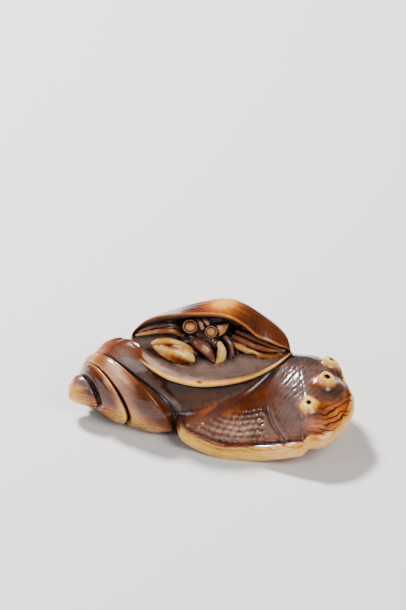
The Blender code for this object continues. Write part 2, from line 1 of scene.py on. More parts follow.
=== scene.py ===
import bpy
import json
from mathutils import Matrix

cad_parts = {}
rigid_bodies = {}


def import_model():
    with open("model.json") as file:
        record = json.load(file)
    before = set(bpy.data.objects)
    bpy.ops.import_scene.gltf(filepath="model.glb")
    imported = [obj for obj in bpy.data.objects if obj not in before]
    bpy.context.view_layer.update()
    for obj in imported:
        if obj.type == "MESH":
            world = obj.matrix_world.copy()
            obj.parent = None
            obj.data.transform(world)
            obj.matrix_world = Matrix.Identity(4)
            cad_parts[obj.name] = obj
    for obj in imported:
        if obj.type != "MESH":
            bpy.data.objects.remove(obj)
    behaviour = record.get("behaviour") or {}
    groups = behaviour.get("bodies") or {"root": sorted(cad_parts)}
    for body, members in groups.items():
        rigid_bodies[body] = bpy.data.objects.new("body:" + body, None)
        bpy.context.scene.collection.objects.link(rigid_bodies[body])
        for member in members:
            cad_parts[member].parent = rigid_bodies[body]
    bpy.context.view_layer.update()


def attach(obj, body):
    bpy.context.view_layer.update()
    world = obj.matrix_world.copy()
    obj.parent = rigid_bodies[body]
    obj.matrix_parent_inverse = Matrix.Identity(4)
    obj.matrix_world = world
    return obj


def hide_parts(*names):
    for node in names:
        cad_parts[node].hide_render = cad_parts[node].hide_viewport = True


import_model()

import json
import math

import bmesh
import bpy
import numpy as np
from mathutils import Matrix, Vector, noise
from mathutils.bvhtree import BVHTree
from mathutils.kdtree import KDTree

# The netsuke is drawn in millimetres in the carving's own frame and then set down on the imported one:
# X along the carving, Y to the back, Z up from the table. "Up the picture" below is Z and Y as seen
# from the front and 32 degrees above.
drawing = {
    "mm": 0.001,
    "footprintMiddle": Vector((0.218, 5.35, 0.0)),
    "toViewer": Vector((0.0, -0.848, 0.53)),
    "upPicture": Vector((0.0, 0.53, 0.848)),
}


# Curves through rows of numbers

def through(table, x):
    # the values at x on a smooth curve through rows of (x, value, value...)
    last = len(table) - 1
    i = 0
    while i < last - 1 and x > table[i + 1][0]:
        i += 1
    before, start, end, after = (table[max(0, min(last, k))] for k in (i - 1, i, i + 1, i + 2))
    span = end[0] - start[0]
    s = min(1.0, max(0.0, (x - start[0]) / span))
    found = []
    for k in range(1, len(start)):
        left = (end[k] - before[k]) / (end[0] - before[0]) * span
        right = (after[k] - start[k]) / (after[0] - start[0]) * span
        found.append(
            start[k] * (2 * s**3 - 3 * s**2 + 1) + left * (s**3 - 2 * s**2 + s)
            + end[k] * (3 * s**2 - 2 * s**3) + right * (s**3 - s**2)
        )
    return found if len(found) > 1 else found[0]


def around(table, degrees):
    # the same for a table in degrees that closes on itself
    first = table[0][0]
    turned = (degrees - first) % 360 + first
    before = (table[-1][0] - 360, *table[-1][1:])
    after = [(row[0] + 360, *row[1:]) for row in table[:2]]
    return through([before, *table, *after], turned)


def smoothStep(low, high, x):
    s = min(1.0, max(0.0, (x - low) / (high - low)))
    return s * s * (3 - 2 * s)


def between(start, full, fading, end, x):
    # 1 from full to fading, and 0 before the start and past the end
    return smoothStep(start, full, x) * (1 - smoothStep(fading, end, x))


def hump(x, middle, half):
    # 1 at the middle, 0 from half away
    away = abs(x - middle) / half
    return 0.0 if away >= 1 else (1 - away * away) ** 2


def grain(point, size, seed=0.0):
    # smooth noise from about -1 to 1, with lumps of that size in mm
    return noise.noise(Vector(point) / size + Vector((seed, seed * 1.7, -seed)))


def uneven(point, lumps):
    # hand-cut unevenness from rows of (depth, size, seed)
    return sum(depth * grain(point, size, seed) for depth, size, seed in lumps)


# Forms. Each is a closed skin with, for every point, its numbers across and along, which the
# relief and the stain are worked out from.

def markedPoints(points, marks):
    form = bmesh.new()
    kept = form.verts.layers.float_vector.new("mark")
    verts = [form.verts.new(point) for point in points]
    for vert, mark in zip(verts, marks):
        vert[kept] = Vector((*mark, 0.0))
    return form, verts


def finishedForm(name, form, reliefAt):
    # faces outwards, relief along the normals
    bmesh.ops.recalc_face_normals(form, faces=form.faces)
    form.normal_update()
    if reliefAt is not None:
        kept = form.verts.layers.float_vector["mark"]
        moved = [vert.co + vert.normal * reliefAt(vert.co, *vert[kept].xy) for vert in form.verts]
        for vert, place in zip(form.verts, moved):
            vert.co = place
    mesh = bpy.data.meshes.new(name)
    form.to_mesh(mesh)
    form.free()
    return mesh


def ringForm(name, rings, sides, place, reliefAt=None):
    # rings from one end point to the other, place(ring, side) with both from 0 to 1
    points, marks, faces = [Vector(place(0.0, 0.0))], [(0.0, 0.0)], []
    for i in range(1, rings):
        for j in range(sides):
            marks.append((i / rings, j / sides))
            points.append(Vector(place(*marks[-1])))
    marks.append((1.0, 0.0))
    points.append(Vector(place(1.0, 0.0)))
    for j in range(sides):
        after = (j + 1) % sides
        faces.append((0, 1 + j, 1 + after))
        faces.append((len(points) - 1, len(points) - 1 - sides + after, len(points) - 1 - sides + j))
        for i in range(rings - 2):
            row, nextRow = 1 + i * sides, 1 + (i + 1) * sides
            faces.append((row + j, nextRow + j, nextRow + after, row + after))
    form, verts = markedPoints(points, marks)
    for face in faces:
        form.faces.new([verts[k] for k in face])
    return finishedForm(name, form, reliefAt)


def addPiece(name, mesh, collection):
    piece = bpy.data.objects.new(name, mesh)
    collection.objects.link(piece)
    return piece


def addRings(name, collection, rings, sides, place, reliefAt=None):
    return addPiece(name, ringForm(name, rings, sides, place, reliefAt), collection)


def ellipsoid(name, collection, middle, halfSizes, rings=22, sides=30):
    longHalf, deepHalf, highHalf = halfSizes

    def place(ring, side):
        polar, turn = math.pi * ring, 2 * math.pi * side
        deep, high = deepHalf * math.cos(turn), highHalf * math.sin(turn)
        offset = Vector((-longHalf * math.cos(polar), deep * math.sin(polar), high * math.sin(polar)))
        return Vector(middle) + offset

    return addRings(name, collection, rings, sides, place, crabRelief)


limbEnds = {
    "gathered": 0.35,      # how far the rings gather at the ends, from 0 to 1
    "rounded": 0.07,       # share of the length that each end is rounded over
    "lookAhead": 0.02,     # the way is measured this far to each side
}


def limb(name, collection, stops, steps, sides, reliefAt=None):
    # a rounded limb through stops of (x, y, z, radius)
    rows = [(float(k), *stop) for k, stop in enumerate(stops)]
    last = len(stops) - 1

    def spine(t):
        return Vector(through(rows, t * last)[:3])

    def place(ring, side):
        gathered, ahead = limbEnds["gathered"], limbEnds["lookAhead"]
        t = gathered * (0.5 - 0.5 * math.cos(math.pi * ring)) + (1 - gathered) * ring
        radius = through(rows, t * last)[3]
        fromEnd = min(1.0, min(ring, 1 - ring) / limbEnds["rounded"])
        endRound = math.sqrt(max(0.0, 1 - (1 - fromEnd) ** 2))
        way = (spine(min(1.0, t + ahead)) - spine(max(0.0, t - ahead))).normalized()
        across = way.cross(drawing["toViewer"]).normalized()
        out = across.cross(way)
        turn = 2 * math.pi * side
        return spine(t) + (across * math.cos(turn) + out * math.sin(turn)) * radius * endRound

    return addRings(name, collection, steps * last, sides, place, reliefAt)


# Spiral shell, on the left

spiralShell = {
    "tip": Vector((-28.0, 9.4, 5.0)),
    "far": Vector((-6.0, 6.2, 7.1)),       # a point on its axis, under the clam
    # by turns from the tip: along the axis and outwards, at the upper outline and at the lower one
    "stations": [
        (-1.0, 0.4, 0.0, 0.4, 0.0), (-0.5, 0.45, 0.8, 0.45, 0.7), (0.0, 0.7, 1.7, 0.6, 1.4),
        (0.5, 1.6, 2.9, 1.9, 2.2), (1.0, 3.0, 3.5, 4.4, 2.8), (1.5, 3.6, 4.5, 6.3, 3.5),
        (2.0, 4.2, 5.5, 8.8, 4.9), (2.5, 5.0, 6.5, 12.0, 6.1), (3.0, 6.2, 7.5, 16.5, 7.2),
        (3.5, 8.6, 9.3, 21.5, 7.5), (4.0, 12.4, 10.4, 25.0, 7.0), (4.5, 18.0, 9.0, 27.0, 5.0),
        (5.0, 24.0, 0.0, 24.0, 0.0),
    ],
    "start": -1,
    "turns": 5,
    "skew": 0.5,                 # how far each ring's front runs ahead, for its radius
    "skewedFrom": (0.5, 1.5),    # it comes in between these turns
    "bulge": 0.75,
    "swollen": (0.0, 1.0, 2.8, 3.2),   # the bulges come in and go out between these turns
    "grownRadius": 6.0,          # smaller rings have bulge and grooves in proportion
    "grooves": [(1.25, 0.20), (0.85, 0.08), (1.1, 0.14)],   # depth, and half the width in turns
    "grooveBehind": 0.55,        # share of that depth on the hidden side
    "stepDown": 2.3,             # where the clam's wall takes over
    "stepAt": (-0.03, 0.12),     # in turns from the last groove
    "stepAway": (0.1, 1.2),      # and in radians round the ring from the top
    "lumps": [(0.07, 3.4, 0.0), (0.03, 1.3, 4.0)],
    "shoulders": [(0.10, 0.86), (0.08, 0.15)],   # height, and place across a whorl
    "growthLines": 0.07,         # on the hidden side
    "weld": 0.002,               # points nearer than this are one
    "sidesToTurn": 112,
    "rows": 32,
}


def spiralPoint(station, whorl):
    axialTop, radiusTop, axialLow, radiusLow = through(spiralShell["stations"], station)
    turn = (station - whorl) * 2 * math.pi
    high, front = math.cos(turn), math.sin(turn)
    axial = (axialTop + axialLow) / 2 + (axialTop - axialLow) / 2 * high
    radius = (radiusTop + radiusLow) / 2 + (radiusTop - radiusLow) / 2 * high
    axial += spiralShell["skew"] * radius * front * smoothStep(*spiralShell["skewedFrom"], station)
    size = min(1.0, radius / spiralShell["grownRadius"])
    swell = between(*spiralShell["swollen"], whorl) * math.sin(math.pi * (whorl % 1.0))
    radius += spiralShell["bulge"] * size * swell
    behind = spiralShell["grooveBehind"]
    worn = behind + (1 - behind) * smoothStep(-0.7, 0.1, front)
    for k, (depth, width) in enumerate(spiralShell["grooves"]):
        radius -= depth * worn * size * (1 - smoothStep(0.0, width, abs(whorl - 1 - k)))
    lowered = smoothStep(*spiralShell["stepAway"], turn % (2 * math.pi))
    pastLast = whorl - len(spiralShell["grooves"])
    radius -= spiralShell["stepDown"] * lowered * smoothStep(*spiralShell["stepAt"], pastLast)
    axis = (spiralShell["far"] - spiralShell["tip"]).normalized()
    outward = drawing["upPicture"] * high + drawing["toViewer"] * front
    return spiralShell["tip"] + axis * axial + outward * max(0.0, radius)


def spiralRelief(point, whorl, station):
    # unevenness, a shoulder beside each groove, and growth lines on the hidden side
    size = smoothStep(0.0, 2.0, whorl + 0.6)
    across = whorl % 1.0
    behind = smoothStep(12.0, 16.0, point.y)
    wave = max(0.0, math.sin(8 * math.pi * across + grain(point, 5.0, 2.0))) ** 2
    depth = uneven(point, spiralShell["lumps"]) - spiralShell["growthLines"] * behind * size * wave
    for height, middle in spiralShell["shoulders"]:
        depth += height * hump(across, middle, 0.08) * size
    return depth * size


def spiralMesh():
    rows, sides = spiralShell["rows"], spiralShell["sidesToTurn"]
    start, turns = spiralShell["start"], spiralShell["turns"]
    steps = sides * (turns - 1 - start)
    acrossRows = [k / rows - 0.1 * math.sin(2 * math.pi * k / rows) for k in range(rows)]
    points, marks = [], []
    for i in range(steps + 1):
        whole, part = divmod(i, sides)
        for across in acrossRows:
            whorl = start + whole + across
            marks.append((whorl, whorl + part / sides))
            points.append(spiralPoint(marks[-1][1], whorl))
    form, verts = markedPoints(points, marks)

    def corner(i, j):
        # past its last row a turn is sewn to the next turn's first row
        return verts[i * rows + j] if j < rows else verts[(i + sides) * rows]

    for i in range(steps):
        wholeRows = rows if i + 1 + sides <= steps else rows - 1
        for j in range(wholeRows):
            form.faces.new((corner(i, j), corner(i + 1, j), corner(i + 1, j + 1), corner(i, j + 1)))
    bmesh.ops.remove_doubles(form, verts=form.verts, dist=spiralShell["weld"])
    bmesh.ops.dissolve_degenerate(form, dist=spiralShell["weld"], edges=form.edges)
    bmesh.ops.holes_fill(form, edges=[edge for edge in form.edges if edge.is_boundary], sides=0)
    bmesh.ops.triangulate(form, faces=[face for face in form.faces if len(face.verts) > 4])
    return finishedForm("spiralShell", form, spiralRelief)


# Abalone, on the right, raised at its right side

abaloneShell = {
    "peak": Vector((17.5, 7.5, 13.6)),
    # its edge about the peak: degrees, distance, and the edge's lowest height
    "edge": [
        (44.0, 7.6, 7.6), (99.0, 7.6, 7.4), (140.0, 12.2, 7.0), (170.0, 19.8, 6.0), (188.0, 23.2, 4.2),
        (205.0, 25.5, 2.3), (212.6, 23.2, 0.7), (224.8, 20.6, 0.0), (236.0, 18.3, 0.1), (250.5, 17.5, 1.1),
        (270.0, 18.1, 3.1), (283.3, 18.2, 3.4), (293.4, 17.1, 4.6), (321.0, 13.0, 7.2), (345.0, 9.0, 7.7),
    ],
    "band": 2.4,                       # height of its thick edge, and how far it is rounded out
    "bandSwell": 0.55,
    "steepness": 1.9,                  # of the fall from its peak to its edge
    "notch": (270.5, 275.5, 281.0, 317.0),   # degrees where the edge steps up, and comes down
    "notchRise": 1.5,
    "foot": Vector((9.0, 2.5, -0.6)),
    "footReach": 0.62,
    "crowding": (26.0, 35.0),          # sides gather at the far edge
    "rows": ((104, 20, 34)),   # over the back, down the edge, under
    "sides": 236,
}
# breathing holes: x and y, half width and height of the mound, height of its ring, the hole's
# radius, and how far the worn cream reaches
breathingHoles = [
    {"at": (19.0, -4.5), "wide": 2.2, "high": 0.9, "lip": 0.35, "radius": 0.5, "cream": 2.5},
    {"at": (22.7, 1.3), "wide": 2.4, "high": 1.7, "lip": 0.62, "radius": 0.58, "cream": 2.7},
    {"at": (23.6, 8.0), "wide": 2.5, "high": 1.9, "lip": 0.60, "radius": 0.55, "cream": 2.5},
]
moundForm = {"fall": 1.6, "ringAt": 2.1, "ringWidth": 0.42}   # the ring's place is in radii of its hole
holeBoring = {
    "tilt": Vector((0.1, -0.35, 0.0)),
    "slopeStep": 0.5,                      # mm to each side, to find the way that a mound faces
    "flare": [(1.5, 0.62), (0.3, 0.52)],   # height over the crown, and radius
    "depth": 1.6,
    "counts": (6, 24),                     # steps from stop to stop, and sides
}
# the field of knobs on the abalone's near left: mm across and up the picture
knobField = {
    "left": -4.6, "right": 10.4, "upperAtLeft": 2.9, "upperSlope": 0.27,
    "across": 1.25, "up": 1.0, "height": 0.46, "fromRim": 1.2,
}
# the growth step that bounds it: across and up the picture from its top to its foot
growthStep = [(9.9, 7.4), (10.6, 5.6), (11.6, 3.0), (13.4, 0.4)]


def abaloneEdge(degrees):
    reach, low = around(abaloneShell["edge"], degrees)
    return reach, low + abaloneShell["notchRise"] * between(*abaloneShell["notch"], degrees)


def abaloneTop(x, y):
    peak = abaloneShell["peak"]
    away = Vector((x - peak.x, y - peak.y))
    reach, low = abaloneEdge(math.degrees(math.atan2(away.y, away.x)) % 360)
    share = min(1.0, away.length / reach)
    edge = low + abaloneShell["band"]
    return edge + (peak.z - edge) * (1 - share ** abaloneShell["steepness"])


def abaloneStep(ring):
    # which stretch a ring is on (0 the back, 1 the edge, 2 underneath) and how far along it
    back, edge, under = abaloneShell["rows"]
    row = ring * (back + edge + under)
    if row < back:
        return 0, row / back
    if row < back + edge:
        return 1, (row - back) / edge
    return 2, min(1.0, (row - back - edge) / under)


def abaloneTurn(side):
    crowding, near = abaloneShell["crowding"]
    turn = 2 * math.pi * side
    return turn + math.radians(crowding) * math.sin(turn - math.radians(near))


def abalonePoint(ring, side):
    stretch, along = abaloneStep(ring)
    turn = abaloneTurn(side)
    reach, low = abaloneEdge(math.degrees(turn) % 360)
    outward = Vector((math.cos(turn), math.sin(turn), 0.0))
    peak = abaloneShell["peak"]
    peakFlat = Vector((peak.x, peak.y, 0.0))
    if stretch == 0:
        found = peakFlat + outward * reach * along
        found.z = abaloneTop(found.x, found.y)
        for hole in breathingHoles:
            off = math.hypot(found.x - hole["at"][0], found.y - hole["at"][1])
            found.z += hole["high"] * math.exp(-moundForm["fall"] * (off / hole["wide"]) ** 2)
            offRing = off - moundForm["ringAt"] * hole["radius"]
            found.z += hole["lip"] * math.exp(-(offRing / moundForm["ringWidth"]) ** 2)
        return found
    edge = peakFlat + outward * reach
    if stretch == 1:
        found = edge + outward * abaloneShell["bandSwell"] * math.sin(math.pi * along)
        found.z = low + abaloneShell["band"] * (1 - along)
        return found
    foot = abaloneShell["foot"]
    found = edge.lerp(Vector((foot.x, foot.y, 0.0)), along)
    found.z = low + (foot.z - low) * smoothStep(0.0, abaloneShell["footReach"], along)
    return found


def knobShare(across, up, toRim):
    left, right, rim = knobField["left"], knobField["right"], knobField["fromRim"]
    top = knobField["upperAtLeft"] + knobField["upperSlope"] * (across - left)
    field = between(left - 0.8, left + 0.6, right - 0.3, right + 0.5, across)
    return field * (1 - smoothStep(top - 0.9, top + 0.5, up)) * smoothStep(rim - 0.5, rim + 0.3, toRim)


def pastStep(across, up):
    # mm to the right of the growth step
    rows = [(-height, width) for width, height in growthStep]
    return across - through(rows, -up)


abaloneCuts = {   # heights in mm of what is cut into it
    "lumps": [(0.07, 3.6, 0.0), (0.03, 1.2, 3.0)],
    "rimGroove": 0.24, "rimRoll": 0.10, "strokes": 0.06, "stepGroove": 0.20, "stepRoll": 0.14,
    "dots": 0.05, "hair": 0.05, "farRibs": 0.05, "edgeLines": 0.05,
}


def knobHeight(point, toRim, field):
    # rows of knobs that follow the rim, each row half a knob on from the last
    row = toRim / knobField["up"] + 0.4 * grain(point, 3.0, 9.0)
    offset = 0.5 * (math.floor(row) % 2) + 0.4 * grain(point, 2.0, 9.0)
    shifted = point.x / knobField["across"] + offset
    knob = (1 - (2 * (row % 1.0) - 1) ** 2) * (1 - (2 * (shifted % 1.0) - 1) ** 2)
    return knobField["height"] * field * (knob - 0.55) * (0.8 + 0.5 * grain(point, 1.6, 2.0))


def abaloneRelief(point, ring, side):
    stretch, along = abaloneStep(ring)
    degrees = math.degrees(abaloneTurn(side)) % 360
    cuts = abaloneCuts
    depth = uneven(point, cuts["lumps"])
    up = Vector(point).dot(drawing["upPicture"])
    near = 1 - smoothStep(7.0, 9.0, point.y)                 # the near side only
    if stretch == 1:
        wave = math.sin(along * math.pi * 3 + 2.0 * grain(point, 5.0, 8.0))
        return depth + cuts["edgeLines"] * wave * hump(along, 0.5, 0.5)
    if stretch == 2:
        return depth
    toRim = abaloneEdge(degrees)[0] * (1 - along)            # mm to the rim, over the back
    fades = 1 - 0.85 * smoothStep(14.0, 19.0, point.x)
    depth -= cuts["rimGroove"] * fades * hump(toRim, 0.85, 0.4)
    depth += cuts["rimRoll"] * hump(toRim, 0.25, 0.5)
    field = knobShare(point.x, up, toRim) * near
    if field > 0:
        depth += knobHeight(point, toRim, field)
    # short strokes from the knobs towards the rim
    strokes = hump(toRim, 1.6, 0.9) * near * between(-6.0, -4.5, 8.0, 11.0, point.x)
    depth += cuts["strokes"] * strokes * math.sin(point.x * 7.5 + 1.5 * grain(point, 1.5, 4.0))
    # the growth step, and finer dots past it
    past = pastStep(point.x, up)
    low = smoothStep(0.3, 1.0, toRim) * near * (1 - smoothStep(5.6, 7.6, up))
    depth -= cuts["stepGroove"] * hump(past, 0.3, 1.0) * low
    depth += cuts["stepRoll"] * hump(past, 1.4, 0.5) * low
    dots = between(1.5, 2.0, 6.0, 8.0, past) * (1 - smoothStep(5.5, 7.0, up)) * low
    depth += cuts["dots"] * dots * math.sin(point.x * 6.8 + up * 2.0) * math.sin(toRim * 6.2 + point.x)
    # hair ridges over the shoulder, rising to the right
    hair = hump(point.x, 16.6, 6.0) * between(6.5, 8.5, 14.0, 16.5, up)
    across = (point.x * 0.72 - up * 0.69) * 7.4 + 2.6 * grain(point, 1.8, 6.0)
    depth += cuts["hair"] * hair * math.sin(across) * (0.5 + 1.2 * grain(point, 1.1, 1.0))
    # soft ribs that follow the rim on the far side
    ribs = math.sin(toRim * 2.6 + grain(point, 5.0, 5.0)) * smoothStep(1.0, 2.0, toRim)
    return depth + cuts["farRibs"] * (1 - near) * ribs


# Clam, in the middle, open towards the front

clamShell = {
    "left": Vector((-15.3, 13.2, 15.3)),     # where the two valves meet
    "right": Vector((15.7, 9.6, 14.2)),
    # by degrees from the left end: forward reach of the lower edge, rise of the upper edge,
    # reach back of the hinge side, and how high the crown shows from the front
    "shape": [
        (0.0, 0.0, 0.0, 0.0, 0.0), (20.0, 5.1, 2.7, 2.6, 1.9), (40.0, 9.0, 5.9, 5.2, 4.1),
        (60.0, 12.0, 7.75, 7.6, 5.9), (80.0, 13.0, 8.65, 9.6, 7.9), (95.0, 12.2, 8.9, 10.4, 9.1),
        (105.0, 11.2, 8.3, 10.6, 9.25), (115.0, 9.9, 6.5, 10.4, 8.6), (125.0, 8.2, 3.9, 9.9, 7.4),
        (140.0, 5.4, 2.4, 8.4, 5.5), (160.0, 1.8, 0.8, 5.0, 3.1), (180.0, 0.0, 0.0, 0.0, 0.0),
    ],
    "lowerLip": 1.25,
    "upperLip": 0.55,
    "lipHeight": 0.6,
    "lipOverhang": 0.3,
    "crownBack": 0.42,       # place of the crown, as a share of the way back to the hinge
    "depth": 14.0,           # of the lower valve
    "slope": -0.09,          # rise of the lower edge towards the front
    "lean": 1 / 3,           # forward lean of the upper edge for its height
    "hingeCrease": 0.12,     # how far both valves swell past their hinge line
    "inmost": (0.38, 0.12),  # the hollow's inmost point: shares of the way back and of the rise
    "bowl": 3.0,
    "mouthGrown": 0.25,      # how far the cleared hollow reaches into the wall
    "mouthBulge": 0.12,      # and out of the opening, for its height
    "stations": 132,
}
# rows of the mesh on each stretch of its section
clamRows = {
    "lip": 4, "undercut": 2, "front": 36, "under": 14, "back": 18, "crown": 26,
    "upperLip": 3, "ceiling": 24, "floor": 34, "lipTop": 5,
}
clamSides = sum(clamRows.values())


def arc(start, startPull, end, endPull, s):
    handles = (start, start + startPull, end + endPull, end)
    weights = ((1 - s) ** 3, 3 * s * (1 - s) ** 2, 3 * s**2 * (1 - s), s**3)
    return sum((handle * weight for handle, weight in zip(handles, weights)), Vector((0.0, 0.0)))


def clamArcs(degrees, grown=0.0):
    # the C-shaped section at a station as arcs, forward and up from the line between the clam's ends
    front, rise, back, crown = through(clamShell["shape"], degrees)
    size = math.sin(math.radians(degrees))
    depth = clamShell["depth"] * size**0.8
    lip, upperLip, lipHeight, overhang = (
        clamShell[name] * size**0.5 for name in ("lowerLip", "upperLip", "lipHeight", "lipOverhang")
    )
    level, down = drawing["upPicture"].z, drawing["upPicture"].y
    lift = level - down * clamShell["lean"]
    flat = Vector((0.0, 0.0))
    lipOut = Vector((front, clamShell["slope"] * front))
    lipIn = lipOut + Vector((-lip, -0.1 * lip))
    lipFoot = lipOut + Vector((0.0, -lipHeight))
    wall = lipFoot + Vector((-overhang, -overhang))
    upperOut = Vector((clamShell["lean"] * rise, rise))
    upperIn = upperOut + Vector((-0.3 * upperLip, -upperLip))
    hinge = Vector((-back, 0.0))
    bottom = Vector((0.0, -depth))
    top = Vector((-clamShell["crownBack"] * back, 0.0))
    top.y = (crown + down * top.x) / level
    inmost = Vector((-clamShell["inmost"][0] * back - grown, clamShell["inmost"][1] * rise))
    bowl = clamShell["bowl"] * size + grown
    flatWay = Vector((level, down))
    crease = clamShell["hingeCrease"] * back
    swell = Vector((0.0, 0.12 * max(0.0, crown - lift * rise)))
    return {
        "lip": (lipOut, flat, lipFoot, flat),
        "undercut": (lipFoot, flat, wall, flat),
        "front": (wall, Vector((0.02 * front, -0.6 * depth)), bottom, Vector((0.75 * front, 0.0))),
        "under": (bottom, Vector((-0.7 * back, 0.0)), hinge, Vector((-crease, -0.45 * depth))),
        "back": (hinge, Vector((-crease, 0.4 * top.y)), top, flatWay * -0.3 * back),
        "crown": (top, flatWay * 0.35 * (upperOut.x - top.x), upperOut, (top - upperOut) * 0.2 + swell),
        "upperLip": (upperOut, flat, upperIn, flat),
        "ceiling": (
            upperIn, (top - upperOut) * 0.35 + Vector((0.0, -0.15 * rise)), inmost, Vector((0.0, 0.3 * rise))
        ),
        "floor": (inmost, Vector((0.0, -bowl)), lipIn, Vector((-0.12 * front, -0.75 * bowl))),
        "lipTop": (lipIn, flat, lipOut, flat),
    }


def clamStretch(side):
    # which arc of the section a side is on, and how far along it
    row = side * clamSides
    for name, rows in clamRows.items():
        if row <= rows:
            return name, row / rows
        row -= rows
    return "lip", 0.0


def clamPlace(degrees, offset):
    along = (1 - math.cos(math.radians(degrees))) / 2
    return clamShell["left"].lerp(clamShell["right"], along) + Vector((0.0, -offset.x, offset.y))


arcsBefore = {}   # the last section worked out, kept for its other points


def clamPoint(ring, side):
    degrees = 180 * ring
    if arcsBefore.get("degrees") != degrees:
        arcsBefore["degrees"], arcsBefore["arcs"] = degrees, clamArcs(degrees)
    name, along = clamStretch(side % 1.0)
    return clamPlace(degrees, arc(*arcsBefore["arcs"][name], along))


mouthCounts = (60, 60)      # rings and sides of the form that clears the hollow
mouthShares = (0.3, 0.62)   # of its sides, the end of the ceiling and the end of the floor


def mouthPoint(ring, side):
    degrees = 180 * ring
    arcs = clamArcs(degrees, clamShell["mouthGrown"])
    first, second = mouthShares
    if side < first:
        return clamPlace(degrees, arc(*arcs["ceiling"], side / first))
    if side < second:
        return clamPlace(degrees, arc(*arcs["floor"], (side - first) / (second - first)))
    low, high = arcs["floor"][2], arcs["ceiling"][0]
    part = (side - second) / (1 - second)
    out = Vector((clamShell["mouthBulge"] * math.sin(math.pi * part), 0.0)) * (high - low).length
    return clamPlace(degrees, low.lerp(high, part) + out)


def valveGroove(name, along, ring):
    # 1 in a growth groove of the valves, 0 between them
    lines = {"under": 7, "back": 6, "crown": 5}.get(name, 0)
    wave = math.sin(2 * math.pi * lines * along + 0.5 * math.sin(11 * ring) + 0.3 * math.sin(23 * ring))
    return max(0.0, wave) ** 3 * hump(along, 0.5, 0.75)


clamCuts = {   # heights in mm of what is cut into it
    "lumps": 0.06, "lumpsInside": 0.02, "fibres": 0.035, "underLip": 0.12, "growthFront": 0.01,
    "growthBack": 0.22, "hingeLine": 0.35, "lipRound": 0.05,
}


def clamRelief(point, ring, side):
    name, along = clamStretch(side)
    degrees = 180 * ring
    size = between(0.0, 25.0, 158.0, 180.0, degrees)
    inside = name in ("ceiling", "floor", "upperLip", "lipTop")
    depth = clamCuts["lumpsInside" if inside else "lumps"] * grain(point, 3.2, 1.0)
    if name == "front":
        # faint upright fibres, and a line under the lip
        fibres = math.sin(point.x * 9.0 + 3.0 * grain(point, 2.4, 2.0)) * hump(along, 0.45, 0.45)
        depth += clamCuts["fibres"] * fibres
        depth -= clamCuts["underLip"] * hump(along, 0.05, 0.04)
    if name in ("under", "back", "crown"):
        behind = smoothStep(11.0, 16.0, point.y)
        growth = clamCuts["growthFront"] + clamCuts["growthBack"] * behind
        depth -= growth * valveGroove(name, along, ring)
    # the line where the valves meet
    if name == "back":
        depth -= clamCuts["hingeLine"] * hump(along, 0.0, 0.1)
    if name == "under":
        depth -= clamCuts["hingeLine"] * hump(along, 1.0, 0.05)
    if name == "lip":
        depth += clamCuts["lipRound"] * math.sin(math.pi * along)
    return depth * size


# Crab, facing out of the clam's mouth. Each form has its kind, its stain and mauve tones, and its
# shape: a ball's middle and half sizes, a socket's middle and radius, or the points of a hull or limb.

